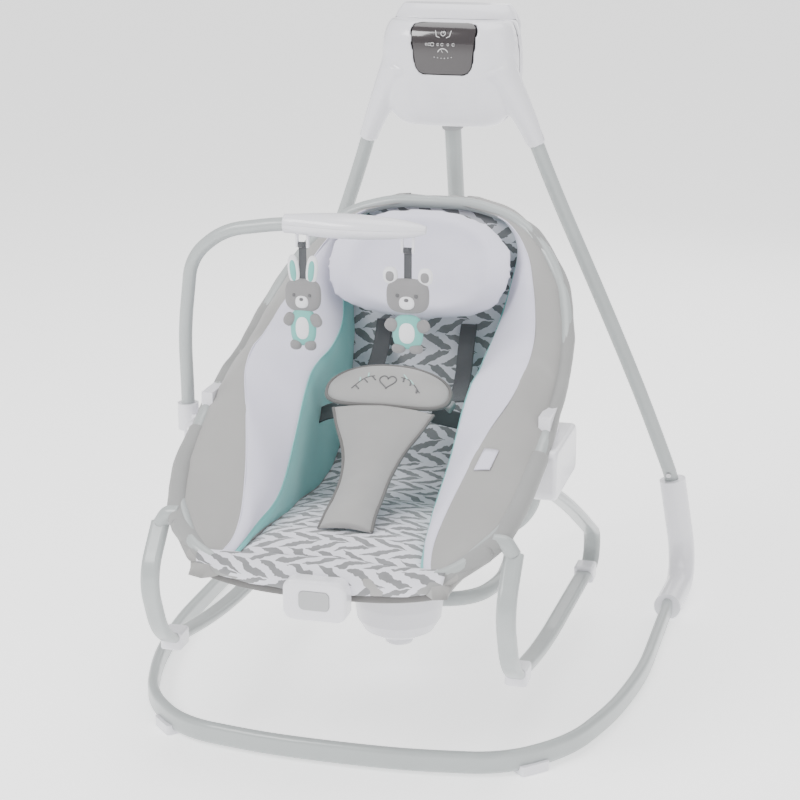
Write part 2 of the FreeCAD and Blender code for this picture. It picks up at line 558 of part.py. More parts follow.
# ======================= seat =======================
def build_seat():
    """Mount, rocker base, rim tube, side hubs, clamps and vibration unit."""
    mount = revolved(MOUNT_PROFILE, HUB_X, HUB_Y)
    socket = rod((HUB_X, HUB_Y, 100), (HUB_X, HUB_Y, SPIGOT_TOP_Z + MOVING_GAP), SPIGOT_RADIUS + MOVING_GAP)
    cross_points = [(x, CROSS_Y, z) for x, z in CROSS_LINE] + [(-x, CROSS_Y, z) for x, z in reversed(CROSS_LINE)]
    cross = round_tube(cross_points, CROSS_RADIUS)
    cross_room = round_bar(cross_points, CROSS_RADIUS + FIT)
    save("seat_mount", mount.cut(socket).cut(cross_room))
    save("cross_tube", cross)
    rocker_points = [(ROCKER_X, y, z) for y, z in ROCKER_LINE]
    sideways = V(1, 0, 0)
    rocker = oval_tube(rocker_points, sideways, ROCKER_WIDE, ROCKER_THICK, sideways)
    rocker_room = oval_tube(rocker_points, sideways, ROCKER_WIDE, ROCKER_THICK, sideways, False, FIT)
    rim_side = []
    for row in STATIONS:
        y, z = polar(row[0], row[8] + RIM_TUBE_RADIUS)
        rim_side.append((row[7] - RIM_TUBE_RADIUS, y, z))
    top_y, top_z = polar(RIM_TOP[0], RIM_TOP[1] + RIM_TUBE_RADIUS)
    front = (90.0, RIM_FRONT[0], RIM_FRONT[1])
    line = [front] + rim_side[0:1] + rim_side[2:] + [(60.0, top_y, top_z)]
    half = round_tube([(0.0, front[1], front[2])] + line + [(0.0, top_y, top_z)], RIM_TUBE_RADIUS)
    half_room = round_bar([(0.0, front[1], front[2])] + line + [(0.0, top_y, top_z)], RIM_TUBE_RADIUS + FIT)
    save("rim_tubes", half, mirror(half))
    y0, y1, z0, z1 = SIDE_HUB
    hub = box(SIDE_HUB_INNER, SIDE_HUB_OUTER, y0, y1, z0, z1)
    hub = filleted(hub, 14, lambda e: runs_along(e, V(1, 0, 0)))
    hub = filleted(hub, 6, lambda e: e.BoundBox.XMin > SIDE_HUB_OUTER - 0.01)
    neck = box(SIDE_HUB_INNER + 4, SIDE_HUB_OUTER - 16, -150, -84, z1 - 12, 448)
    arm = box(HUB_ARM_INNER, SIDE_HUB_INNER + 1, CROSS_Y - 16, CROSS_Y + 16, z0 + 2, HUB_ARM_TOP_Z)
    hub = hub.fuse([neck, arm]).removeSplitter()
    hub = hub.cut(rocker_room).cut(cross_room).cut(half_room)
    hub = max(hub.Solids, key=lambda s: s.Volume)
    y0, y1, z0, z1 = CLAMP_BOX
    clamp = filleted(box(CLAMP_X[0], CLAMP_X[1], y0, y1, z0, z1), 6, lambda e: True)
    clamp = clamp.cut(rocker_room).cut(half_room)
    clamp = max(clamp.Solids, key=lambda s: s.Volume)
    feet = []
    for y in ROCKER_FEET_Y:
        low = 92.0 if y > 0 else 140.0
        foot = filleted(box(ROCKER_X - 15, ROCKER_X + 15, y - 17, y + 17, low - 10, low + 16), 4, lambda e: True)
        foot = foot.cut(rocker_room)
        feet.append(max(foot.Solids, key=lambda s: s.BoundBox.ZLength - s.BoundBox.ZMin))
    save("right_rocker_tube", rocker)
    save("left_rocker_tube", mirror(rocker))
    save("rocker_feet", *(feet + [mirror(f) for f in feet]))
    save("right_side_hub", hub)
    save("left_side_hub", mirror(hub))
    save("rim_clamps", clamp, mirror(clamp))
    shell = box(-VIBE_HALF, VIBE_HALF, VIBE_FRONT_Y, VIBE_BACK_Y, VIBE_BOTTOM_Z, VIBE_TOP_Z)
    shell = filleted(shell, 14, lambda e: runs_along(e, V(0, 1, 0)))
    shell = filleted(shell, 5, lambda e: e.BoundBox.YMax < VIBE_FRONT_Y + 0.01)
    wall = VIBE_WALL
    room = box(-VIBE_HALF + wall, VIBE_HALF - wall, VIBE_FRONT_Y + wall, VIBE_BACK_Y - wall,
               VIBE_BOTTOM_Z + wall, VIBE_TOP_Z - wall)
    room = filleted(room, 10, lambda e: runs_along(e, V(0, 1, 0)))
    low, high = VIBE_BUTTON_Z
    h = VIBE_BUTTON_HALF
    button = box(-h, h, VIBE_FRONT_Y - 1, VIBE_FRONT_Y + 5, low, high)
    button = filleted(button, 7, lambda e: runs_along(e, V(0, 1, 0)))
    g = MOVING_GAP
    hole = box(-h - g, h + g, VIBE_FRONT_Y - 5, VIBE_FRONT_Y + 6, low - g, high + g)
    hole = filleted(hole, 7, lambda e: runs_along(e, V(0, 1, 0)))
    save("vibration_housing", shell.cut(room).cut(hole))
    save("vibration_button", button)
    motor_z = VIBE_BOTTOM_Z + 18
    save("vibration_motor", rod((-30, VIBE_BACK_Y - 10.2, motor_z), (4, VIBE_BACK_Y - 10.2, motor_z), 7.5))


def cushion_section(row, near, far, side_gap):
    """Flat closed section of a cushion at one station."""
    angle, half, radius = row
    points = []
    for x, r in ((-half, radius), (half, radius), (half, radius + far), (-half, radius + far)):
        y, z = polar(angle, r + (near if r == radius else 0))
        points.append(V(x - math.copysign(side_gap, x), y, z))
    return Part.makePolygon(points + [points[0]])


def build_cushions():
    """Seat and back cushions and the side bolsters."""
    rows = [(row[0], row[1], row[2]) for row in STATIONS]
    lower = [(CUSHION_FRONT_ANGLE, 124.0, 411.0)]
    lower += [r for r in rows if CUSHION_FRONT_ANGLE < r[0] < PAD_SPLIT_ANGLE]
    joint = (PAD_SPLIT_ANGLE, 118.0, 357.0)
    upper = [r for r in rows if r[0] > PAD_SPLIT_ANGLE] + [BACK_TOP]
    seat = Part.makeLoft([cushion_section(r, 0, PAD_THICK, PAD_EDGE_GAP) for r in lower + [joint]], True, True)
    start = (PAD_SPLIT_ANGLE + 0.4, 118.0, 356.6)
    back = Part.makeLoft([cushion_section(r, 0, PAD_THICK, PAD_EDGE_GAP) for r in [start] + upper], True, True)
    save("seat_cushion", seat)
    save("back_cushion", back)
    sections = []
    for angle, pad_x, pad_r, seam_x, seam_r, crest_x, crest_r, rim_x, rim_r in STATIONS[1:]:
        outline = [(pad_x + 0.5, pad_r + PAD_THICK - 4), (pad_x + 0.5, pad_r), (seam_x + 1, seam_r),
                   (crest_x, crest_r), (rim_x - RIM_INSET, rim_r + 2), (pad_x + 20, pad_r + PAD_THICK - 4)]
        points = []
        for x, r in outline:
            y, z = polar(angle, r)
            points.append(V(x, y, z))
        sections.append(Part.makePolygon(points + [points[0]]))
    bolster = Part.makeLoft(sections, True, True)
    save("right_bolster", bolster)
    save("left_bolster", mirror(bolster))


def tilted_pad(centre, half, thick, lean):
    """Oval pad, standing in the XZ plane and then leaned back by some degrees."""
    ellipse = Part.Ellipse(V(0, 0, 0), half[0], half[1])
    face = Part.Face(Part.Wire(ellipse.toShape()))
    pad = face.extrude(V(0, 0, thick))
    pad = pad.makeFillet(thick * 0.42, pad.Edges[:1] + pad.Edges[2:])
    pad.rotate(V(0, 0, 0), V(1, 0, 0), 90 - lean)
    pad.translate(V(0, centre[0], centre[1]))
    return pad


def ribbon(line, halves, thick):
    """Flat band over x = 0 that follows (y, z) points with its own half widths."""
    sections = []
    for i, ((y, z), half) in enumerate(zip(line, halves)):
        before = line[max(i - 1, 0)]
        after = line[min(i + 1, len(line) - 1)]
        run = V(0, after[0] - before[0], after[1] - before[1])
        run.normalize()
        normal = V(0, -run.z, run.y)
        centre = V(0, y, z)
        corners = [V(-half, 0, 0) + centre, V(half, 0, 0) + centre]
        corners += [V(half, 0, 0) + centre - normal * thick, V(-half, 0, 0) + centre - normal * thick]
        sections.append(Part.makePolygon(corners + [corners[0]]))
    return Part.makeLoft(sections, True, True)


def build_soft_trim():
    """Headrest, tummy pad, crotch panel, straps and buckles."""
    save("headrest", tilted_pad(HEADREST_CENTRE, HEADREST_HALF, HEADREST_THICK, HEADREST_LEAN))
    save("tummy_pad", tilted_pad(TUMMY_CENTRE, TUMMY_HALF, TUMMY_THICK, 90 - TUMMY_TILT))
    save("crotch_panel", ribbon(CROTCH_LINE, CROTCH_HALF, CROTCH_THICK))
    waist = box(78, 113, -46, -46 + STRAP_WIDE, 402, 402 + STRAP_THICK)
    waist.rotate(V(78, -46, 402), V(0, 1, 0), 20)
    save("waist_straps", waist, mirror(waist))
    shoulder = box(52, 52 + STRAP_WIDE, 0, STRAP_THICK, 0, 118)
    shoulder.rotate(V(0, 0, 0), V(1, 0, 0), 30)
    shoulder.translate(V(0, 118, 375))
    shoulder = shoulder.copy()
    shoulder.rotate(V(64, 118, 375), V(1, 0, 0), -46)
    save("shoulder_straps", shoulder, mirror(shoulder))
    buckle = filleted(box(60, 84, -40, -8, 408, 420), 4, lambda e: True)
    save("waist_buckles", buckle, mirror(buckle))


# ======================= toy bar =======================
def build_toy_bar():
    """Socket on the left side, bent bar, tray and the two hanging toys."""
    socket = rod((BAR_X, BAR_Y, SOCKET_BOTTOM_Z), (BAR_X, BAR_Y, SOCKET_TOP_Z), SOCKET_RADIUS)
    link = box(BAR_X, -SIDE_HUB_OUTER, BAR_Y - 12, BAR_Y + 12, SOCKET_BOTTOM_Z + 2, SOCKET_BOTTOM_Z + 24)
    socket = socket.fuse(link).removeSplitter()
    room = rod((BAR_X, BAR_Y, BAR_LINE[0][1] - 0.3), (BAR_X, BAR_Y, 600), BAR_RADIUS + SHAFT_FIT)
    save("toy_bar_socket", socket.cut(room))
    points = [(BAR_X, BAR_Y, BAR_LINE[0][1]), (BAR_X, BAR_Y, SOCKET_TOP_Z + 20)]
    points += [(x, BAR_Y, z) for x, z in BAR_LINE[1:]]
    save("toy_bar_tube", round_tube(points, BAR_RADIUS))
    bar_room = round_bar(points, BAR_RADIUS + FIT)
    rings = []
    for share, deep, high in TRAY_STEPS:
        x = TRAY_LEFT + share * (TRAY_RIGHT - TRAY_LEFT)
        ellipse = Part.Ellipse(V(0, 0, 0), max(deep, high + 0.01), high)
        wire = Part.Wire(ellipse.toShape())
        wire.rotate(V(0, 0, 0), V(1, 0, 0), 90)
        wire.rotate(V(0, 0, 0), V(0, 0, 1), 90)
        wire.translate(V(x, BAR_Y, TRAY_Z))
        rings.append(wire)
    tray = Part.makeLoft(rings, True, False).cut(bar_room)
    upper = tray.common(box(-400, 400, -400, 400, TRAY_Z + SEAM / 2, TRAY_Z + 60))
    lower = tray.common(box(-400, 400, -400, 400, TRAY_Z - 60, TRAY_Z - SEAM / 2))
    save("toy_tray_top", upper)
    for name, (x, half, low, high) in TOYS.items():
        top = low + high
        body = Part.makeBox(2 * half * 0.72, TOY_THICK, high * 0.6, V(x - half * 0.72, BAR_Y - TOY_THICK / 2, low))
        body = filleted(body, TOY_THICK * 0.4, lambda e: True)
        head = Part.makeBox(2 * half, TOY_THICK, high * 0.5 - 1, V(x - half, BAR_Y - TOY_THICK / 2, low + high * 0.5))
        head = filleted(head, TOY_THICK * 0.4, lambda e: True)
        toy = body.fuse(head).removeSplitter()
        strap_wide, strap_thick = TOY_STRAP
        strap = box(x - strap_wide / 2, x + strap_wide / 2, BAR_Y - strap_thick / 2, BAR_Y + strap_thick / 2,
                    top, HANG_Z - HANG_PIN_RADIUS)
        loop_start = (x - strap_wide / 2, BAR_Y, HANG_Z)
        loop_end = (x + strap_wide / 2, BAR_Y, HANG_Z)
        bore = rod(loop_start, loop_end, HANG_PIN_RADIUS + MOVING_GAP)
        strap = strap.fuse(rod(loop_start, loop_end, HANG_LOOP_RADIUS)).cut(bore)
        save(name + "_toy", toy, strap)
        for way in (-1, 1):
            ends = sorted((x + way * HANG_CHEEK_IN, x + way * HANG_CHEEK_OUT))
            lower = lower.fuse(box(ends[0], ends[1], BAR_Y - HANG_CHEEK_HALF_DEPTH, BAR_Y + HANG_CHEEK_HALF_DEPTH,
                                   HANG_CHEEK_LOW_Z, HANG_CHEEK_TOP_Z))
        pin = rod((x - HANG_CHEEK_OUT, BAR_Y, HANG_Z), (x + HANG_CHEEK_OUT, BAR_Y, HANG_Z), HANG_PIN_RADIUS)
        lower = lower.fuse(pin)
    save("toy_tray_bottom", lower.removeSplitter())


leg_space = build_stand()
build_head(leg_space)
build_arm()
build_seat()
build_cushions()
build_soft_trim()
build_toy_bar()
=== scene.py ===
"""Looks of a baby cradle swing: padded seat, printed liner, plush toys and moulded parts."""
import logging
import math
from dataclasses import dataclass, field
from enum import Enum
from typing import Callable, Iterable, Sequence

import bpy
import bmesh
import numpy as np
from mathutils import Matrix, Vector, noise
from mathutils.bvhtree import BVHTree


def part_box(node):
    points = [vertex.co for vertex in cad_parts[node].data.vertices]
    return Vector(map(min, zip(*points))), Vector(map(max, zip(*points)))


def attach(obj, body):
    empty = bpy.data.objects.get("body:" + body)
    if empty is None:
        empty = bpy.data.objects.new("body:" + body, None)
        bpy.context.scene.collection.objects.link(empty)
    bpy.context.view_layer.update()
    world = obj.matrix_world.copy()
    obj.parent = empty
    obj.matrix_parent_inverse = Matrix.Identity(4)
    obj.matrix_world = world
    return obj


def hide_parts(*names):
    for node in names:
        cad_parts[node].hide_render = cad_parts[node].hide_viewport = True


LOG = logging.getLogger("baby_swing")
Point = tuple[float, float, float]
Colour = tuple[float, float, float]
MM = 0.001
DATUM_Y = -0.0135          # the seat's working datum in the row frame, along Y


# ---------------------------------------------------------------- finishes
class Texture(Enum):
    """Kind of surface relief a finish carries."""

    MOULDED = "moulded"
    PAINTED = "painted"
    BRUSHED = "brushed"
    WOVEN = "woven"
    PLUSH = "plush"


def new_group(name: str, inputs: Sequence[tuple[str, str, object]],
              outputs: Sequence[tuple[str, str]]) -> bpy.types.NodeTree:
    """Make an empty shader group with its sockets.

    Args:
        name: name of the group.
        inputs: socket name, socket type and default value of each input.
        outputs: socket name and socket type of each output.

    Returns:
        The group's node tree.
    """
    group = bpy.data.node_groups.new(name, "ShaderNodeTree")
    for label, kind, value in inputs:
        socket = group.interface.new_socket(name=label, in_out="INPUT", socket_type=kind)
        socket.default_value = value
    for label, kind in outputs:
        group.interface.new_socket(name=label, in_out="OUTPUT", socket_type=kind)
    return group


class Wiring:
    """Short-hand for adding and joining the nodes of one tree."""

    def __init__(self, tree: bpy.types.NodeTree) -> None:
        """Keep the tree whose nodes are added."""
        self.tree = tree

    def add(self, kind: str, **settings: object) -> bpy.types.Node:
        """Add a node and set its properties.

        Args:
            kind: node type without the ShaderNode prefix, or a full type name.
            settings: properties of the node.

        Returns:
            The new node.
        """
        full = kind if kind.startswith("Node") else "ShaderNode" + kind
        node = self.tree.nodes.new(full)
        for key, value in settings.items():
            setattr(node, key, value)
        return node

    def join(self, source: bpy.types.NodeSocket, target: bpy.types.NodeSocket) -> None:
        """Link two sockets."""
        self.tree.links.new(source, target)

    def math(self, operation: str, first: object, second: object = None,
             third: object = None) -> bpy.types.NodeSocket:
        """Add a Math node over sockets or numbers and give its output."""
        node = self.add("Math", operation=operation)
        for slot, value in zip(node.inputs, (first, second, third)):
            if isinstance(value, bpy.types.NodeSocket):
                self.join(value, slot)
            elif value is not None:
                slot.default_value = value
        return node.outputs[0]

    def mix(self, factor: object, first: object, second: object) -> bpy.types.NodeSocket:
        """Mix two colours, given as sockets or tuples, and give the result."""
        node = self.add("Mix", data_type="RGBA")
        for slot, value in zip((node.inputs[0], node.inputs[6], node.inputs[7]), (factor, first, second)):
            if isinstance(value, bpy.types.NodeSocket):
                self.join(value, slot)
            elif isinstance(value, tuple):
                slot.default_value = (*value, 1.0)[:4]
            else:
                slot.default_value = value
        return node.outputs[2]


class Groups:
    """Shader groups that several finishes share, each made once."""

    made: dict[str, bpy.types.NodeTree] = {}

    @classmethod
    def mottle(cls) -> bpy.types.NodeTree:
        """Slow colour drift, as of moulded resin or dyed cloth, between Light and Dark."""
        if "mottle" not in cls.made:
            colour, value = "NodeSocketColor", "NodeSocketFloat"
            entries = [("Light", colour, (1, 1, 1, 1)), ("Dark", colour, (0, 0, 0, 1)), ("Scale", value, 30.0)]
            group = new_group("colour_drift", entries, [("Colour", colour)])
            w = Wiring(group)
            entry, leave = w.add("NodeGroupInput"), w.add("NodeGroupOutput")
            place = w.add("TexCoord")
            cloud = w.add("TexNoise")
            cloud.inputs["Detail"].default_value = 4.0
            w.join(place.outputs["Object"], cloud.inputs["Vector"])
            w.join(entry.outputs["Scale"], cloud.inputs["Scale"])
            drift = w.mix(cloud.outputs["Fac"], entry.outputs["Dark"], entry.outputs["Light"])
            w.join(drift, leave.inputs["Colour"])
            cls.made["mottle"] = group
        return cls.made["mottle"]

    @classmethod
    def weave(cls) -> bpy.types.NodeTree:
        """Crossing threads: input Threads per metre; output Height."""
        if "weave" not in cls.made:
            value = "NodeSocketFloat"
            group = new_group("crossing_threads", [("Threads", value, 900.0)], [("Height", value)])
            w = Wiring(group)
            entry, leave = w.add("NodeGroupInput"), w.add("NodeGroupOutput")
            place = w.add("TexCoord")
            split = w.add("SeparateXYZ")
            w.join(place.outputs["Object"], split.inputs[0])
            turns = w.math("MULTIPLY", entry.outputs["Threads"], math.pi)
            level = w.math("ADD", split.outputs[0], split.outputs[1])
            along = w.math("SINE", w.math("MULTIPLY", level, turns))
            slope = w.math("ADD", w.math("MULTIPLY", split.outputs[1], 0.4), split.outputs[2])
            across = w.math("SINE", w.math("MULTIPLY", slope, turns))
            both = w.math("ADD", w.math("ABSOLUTE", along), w.math("ABSOLUTE", across))
            w.join(w.math("MULTIPLY", both, 0.5), leave.inputs["Height"])
            cls.made["weave"] = group
        return cls.made["weave"]

    @classmethod
    def grain(cls) -> bpy.types.NodeTree:
        """Fine skin of paint, resin or pile: inputs Scale, Detail, Stretch; output Height."""
        if "grain" not in cls.made:
            value = "NodeSocketFloat"
            group = new_group("fine_skin", [("Scale", value, 400.0), ("Detail", value, 3.0),
                                            ("Stretch", value, 1.0)], [("Height", value)])
            w = Wiring(group)
            entry, leave = w.add("NodeGroupInput"), w.add("NodeGroupOutput")
            place = w.add("TexCoord")
            stretch = w.add("CombineXYZ")
            stretch.inputs[0].default_value = 1.0
            stretch.inputs[1].default_value = 1.0
            w.join(entry.outputs["Stretch"], stretch.inputs[2])
            scaled = w.add("VectorMath", operation="MULTIPLY")
            w.join(place.outputs["Object"], scaled.inputs[0])
            w.join(stretch.outputs[0], scaled.inputs[1])
            cloud = w.add("TexNoise")
            w.join(scaled.outputs[0], cloud.inputs["Vector"])
            w.join(entry.outputs["Scale"], cloud.inputs["Scale"])
            w.join(entry.outputs["Detail"], cloud.inputs["Detail"])
            w.join(cloud.outputs["Fac"], leave.inputs["Height"])
            cls.made["grain"] = group
        return cls.made["grain"]


@dataclass(frozen=True)
class Finish:
    """One surface finish, built as a Principled material."""

    name: str
    texture: Texture
    light: Colour
    dark: Colour
    roughness: float
    rough_spread: float = 0.06
    drift_scale: float = 25.0
    grain_scale: float = 500.0
    bump: float = 0.1
    bump_depth: float = 0.0002
    coat: float = 0.0
    sheen: float = 0.0
    metallic: float = 0.0
    # Strength of the painted shade that darkens the weave's valleys.
    valley_shade_strength: float = 0.22

    def build(self) -> bpy.types.Material:
        """Make the material, or give the one already made."""
        if self.name in bpy.data.materials:
            return bpy.data.materials[self.name]
        material = bpy.data.materials.new(self.name)
        material.use_nodes = True
        material.diffuse_color = (*self.light, 1.0)
        w = Wiring(material.node_tree)
        shader = material.node_tree.nodes["Principled BSDF"]
        shader.inputs["Metallic"].default_value = self.metallic
        shader.inputs["Coat Weight"].default_value = self.coat
        shader.inputs["Coat Roughness"].default_value = 0.06
        shader.inputs["Sheen Weight"].default_value = self.sheen
        shader.inputs["Sheen Roughness"].default_value = 0.45
        drift = w.add("Group", node_tree=Groups.mottle())
        drift.inputs["Light"].default_value = (*self.light, 1.0)
        drift.inputs["Dark"].default_value = (*self.dark, 1.0)
        drift.inputs["Scale"].default_value = self.drift_scale
        colour = drift.outputs["Colour"]
        relief = self.relief(w)
        if self.texture is Texture.WOVEN:
            # Painted shade: the valleys between the threads are darkened towards the dark colour.
            valley_shade_mask = w.math("SUBTRACT", 1.0, relief)
            colour = w.mix(w.math("MULTIPLY", valley_shade_mask, self.valley_shade_strength), colour, self.dark)
        w.join(colour, shader.inputs["Base Color"])
        rough = w.math("MULTIPLY_ADD", relief, self.rough_spread * 2, self.roughness - self.rough_spread)
        w.join(rough, shader.inputs["Roughness"])
        bump = w.add("Bump")
        bump.inputs["Strength"].default_value = self.bump
        bump.inputs["Distance"].default_value = self.bump_depth
        w.join(relief, bump.inputs["Height"])
        w.join(bump.outputs["Normal"], shader.inputs["Normal"])
        return material

    def relief(self, w: Wiring) -> bpy.types.NodeSocket:
        """Height of the finish's fine relief, from the shared groups."""
        if self.texture is Texture.WOVEN:
            node = w.add("Group", node_tree=Groups.weave())
            node.inputs["Threads"].default_value = self.grain_scale
            fuzz = w.add("Group", node_tree=Groups.grain())
            fuzz.inputs["Scale"].default_value = 260.0
            threads = w.math("MULTIPLY", node.outputs["Height"], 0.5)
            return w.math("MULTIPLY_ADD", fuzz.outputs["Height"], 0.6, threads)
        node = w.add("Group", node_tree=Groups.grain())
        node.inputs["Scale"].default_value = self.grain_scale
        node.inputs["Detail"].default_value = 8.0 if self.texture is Texture.PLUSH else 3.0
        node.inputs["Stretch"].default_value = 0.05 if self.texture is Texture.BRUSHED else 1.0
        return node.outputs["Height"]


@dataclass(frozen=True)
class PrintFinish:
    """Cloth printed with rows of short slanted brush strokes."""

    name: str = "stroke_print_cloth"
    ground: Colour = (0.74, 0.735, 0.80)
    stroke: Colour = (0.20, 0.203, 0.21)
    row_height: float = 0.024
    stroke_pitch: float = 0.038
    stroke_share: float = 0.47

    def build(self) -> bpy.types.Material:
        """Make the printed cloth; it reads the metre-sized map named liner."""
        if self.name in bpy.data.materials:
            return bpy.data.materials[self.name]
        material = bpy.data.materials.new(self.name)
        material.use_nodes = True
        w = Wiring(material.node_tree)
        shader = material.node_tree.nodes["Principled BSDF"]
        shader.inputs["Roughness"].default_value = 0.8
        shader.inputs["Sheen Weight"].default_value = 0.25
        place = w.add("UVMap", uv_map="liner")
        wobble = w.add("TexNoise")
        wobble.inputs["Scale"].default_value = 55.0
        w.join(place.outputs[0], wobble.inputs["Vector"])
        shift = w.add("VectorMath", operation="SUBTRACT")
        shift.inputs[1].default_value = (0.5, 0.5, 0.5)
        w.join(wobble.outputs["Color"], shift.inputs[0])
        small = w.add("VectorMath", operation="SCALE")
        small.inputs["Scale"].default_value = 0.017
        w.join(shift.outputs[0], small.inputs[0])
        moved = w.add("VectorMath", operation="ADD")
        w.join(place.outputs[0], moved.inputs[0])
        w.join(small.outputs[0], moved.inputs[1])
        split = w.add("SeparateXYZ")
        w.join(moved.outputs[0], split.inputs[0])
        rows = w.math("DIVIDE", split.outputs[1], self.row_height)
        row = w.math("FLOOR", rows)
        within = w.math("FRACT", rows)
        way = w.math("MULTIPLY_ADD", w.math("MODULO", w.math("ABSOLUTE", row), 2.0), 2.0, -1.0)
        lean = w.math("MULTIPLY", way, w.math("SUBTRACT", within, 0.5))
        stagger = w.math("MULTIPLY", w.math("FLOOR", w.math("DIVIDE", row, 2.0)), 0.37)
        along = w.math("ADD", w.math("DIVIDE", split.outputs[0], self.stroke_pitch), lean)
        saw = w.math("FRACT", w.math("ADD", along, stagger))
        edge = w.math("ABSOLUTE", w.math("SUBTRACT", saw, 0.5))
        bristle = w.add("TexNoise")
        bristle.inputs["Scale"].default_value = 260.0
        w.join(place.outputs[0], bristle.inputs["Vector"])
        rough_edge = w.math("MULTIPLY_ADD", w.math("SUBTRACT", bristle.outputs["Fac"], 0.5), 0.16, edge)
        inside = w.math("LESS_THAN", rough_edge, self.stroke_share / 2)
        gap = w.math("GREATER_THAN", within, 0.93)
        ink = w.math("MULTIPLY", inside, w.math("SUBTRACT", 1.0, gap))
        tone = w.add("Group", node_tree=Groups.mottle())
        tone.inputs["Light"].default_value = (*[c * 1.25 for c in self.stroke], 1.0)
        tone.inputs["Dark"].default_value = (*[c * 0.8 for c in self.stroke], 1.0)
        tone.inputs["Scale"].default_value = 60.0
        weave = w.add("Group", node_tree=Groups.weave())
        weave.inputs["Threads"].default_value = 1100.0
        colour = w.mix(ink, self.ground, tone.outputs["Colour"])
        # Painted shade: the weave's valleys are darkened towards the stroke colour.
        valley_shade_mask = w.math("SUBTRACT", 1.0, weave.outputs["Height"])
        colour = w.mix(w.math("MULTIPLY", valley_shade_mask, 0.12), colour, self.stroke)
        w.join(colour, shader.inputs["Base Color"])
        bump = w.add("Bump")
        bump.inputs["Strength"].default_value = 0.25
        bump.inputs["Distance"].default_value = 0.0003
        w.join(weave.outputs["Height"], bump.inputs["Height"])
        w.join(bump.outputs["Normal"], shader.inputs["Normal"])
        return material


TUBE_PAINT = Finish("tube_paint", Texture.PAINTED, (0.40, 0.43, 0.43), (0.36, 0.385, 0.385), 0.34,
                    coat=0.35, grain_scale=700.0, bump=0.06)
WHITE_SHELL = Finish("white_shell_resin", Texture.MOULDED, (0.79, 0.785, 0.83), (0.76, 0.755, 0.80), 0.28,
                     rough_spread=0.03, coat=0.5, grain_scale=900.0, bump=0.03, drift_scale=6.0)
FLOOR_RUBBER = Finish("floor_rubber", Texture.MOULDED, (0.45, 0.46, 0.47), (0.4, 0.41, 0.42), 0.8, bump=0.3)
DARK_GLASS = Finish("display_resin", Texture.MOULDED, (0.030, 0.024, 0.026), (0.024, 0.019, 0.021), 0.16,
                    rough_spread=0.03, coat=0.8, bump=0.01, drift_scale=8.0)
STEEL = Finish("turned_steel", Texture.BRUSHED, (0.62, 0.62, 0.63), (0.5, 0.5, 0.51), 0.32, metallic=1.0,
               bump=0.1)
GREY_RESIN = Finish("grey_resin", Texture.MOULDED, (0.36, 0.365, 0.375), (0.32, 0.325, 0.335), 0.45,
                    bump=0.08)
BUTTON_RESIN = Finish("button_resin", Texture.MOULDED, (0.42, 0.425, 0.435), (0.39, 0.395, 0.405), 0.4,
                      bump=0.05, coat=0.2)
GREY_CLOTH = Finish("outer_band_cloth", Texture.WOVEN, (0.355, 0.35, 0.343), (0.31, 0.305, 0.299), 0.86,
                    sheen=0.3, grain_scale=1100.0, bump=0.35, bump_depth=0.0004, drift_scale=12.0)
SLEEVE_CLOTH = Finish("sleeve_cloth", Texture.WOVEN, (0.31, 0.312, 0.31), (0.265, 0.267, 0.265), 0.84,
                      sheen=0.2, grain_scale=1100.0, bump=0.3, bump_depth=0.0004, drift_scale=12.0)
WHITE_CLOTH = Finish("crest_cloth", Texture.WOVEN, (0.74, 0.725, 0.84), (0.67, 0.655, 0.78), 0.82,
                     sheen=0.35, grain_scale=1000.0, bump=0.3, bump_depth=0.0004, drift_scale=9.0)
AQUA_CLOTH = Finish("inner_band_cloth", Texture.WOVEN, (0.20, 0.52, 0.50), (0.15, 0.45, 0.44), 0.84,
                    sheen=0.3, grain_scale=1000.0, bump=0.3, bump_depth=0.0004)
WHITE_PLUSH = Finish("headrest_plush", Texture.PLUSH, (0.75, 0.735, 0.85), (0.68, 0.665, 0.79), 0.92,
                     sheen=0.6, grain_scale=650.0, bump=0.5, bump_depth=0.0008, drift_scale=14.0)
PANEL_CLOTH = Finish("panel_cloth", Texture.WOVEN, (0.36, 0.355, 0.35), (0.31, 0.306, 0.30), 0.85,
                     sheen=0.3, grain_scale=1000.0, bump=0.3, bump_depth=0.0004)
BINDING = Finish("binding_tape", Texture.WOVEN, (0.15, 0.147, 0.145), (0.11, 0.108, 0.106), 0.8, sheen=0.2,
                 grain_scale=1400.0, bump=0.5, bump_depth=0.0005)
WEBBING = Finish("harness_webbing", Texture.WOVEN, (0.085, 0.088, 0.095), (0.055, 0.058, 0.064), 0.72,
                 sheen=0.25, grain_scale=700.0, bump=0.7, bump_depth=0.0006)
TOY_GREY = Finish("toy_grey_plush", Texture.PLUSH, (0.27, 0.266, 0.27), (0.21, 0.207, 0.21), 0.9, sheen=0.5,
                  grain_scale=900.0, bump=0.6, bump_depth=0.0006)
TOY_AQUA = Finish("toy_aqua_plush", Texture.PLUSH, (0.19, 0.52, 0.47), (0.14, 0.44, 0.40), 0.9, sheen=0.5,
                  grain_scale=900.0, bump=0.6, bump_depth=0.0006)
TOY_WHITE = Finish("toy_white_plush", Texture.PLUSH, (0.85, 0.85, 0.87), (0.76, 0.76, 0.79), 0.9, sheen=0.5,
                   grain_scale=900.0, bump=0.6, bump_depth=0.0006)
THREAD_DARK = Finish("thread_dark", Texture.PLUSH, (0.16, 0.16, 0.165), (0.1, 0.1, 0.105), 0.7,
                     grain_scale=2500.0, bump=0.4)
THREAD_AQUA = Finish("thread_aqua", Texture.PLUSH, (0.45, 0.66, 0.62), (0.36, 0.56, 0.53), 0.7,
                     grain_scale=2500.0, bump=0.4)
PRINT_INK = Finish("display_ink", Texture.MOULDED, (0.8, 0.8, 0.8), (0.72, 0.72, 0.72), 0.5)
PRINTED_CLOTH = PrintFinish()

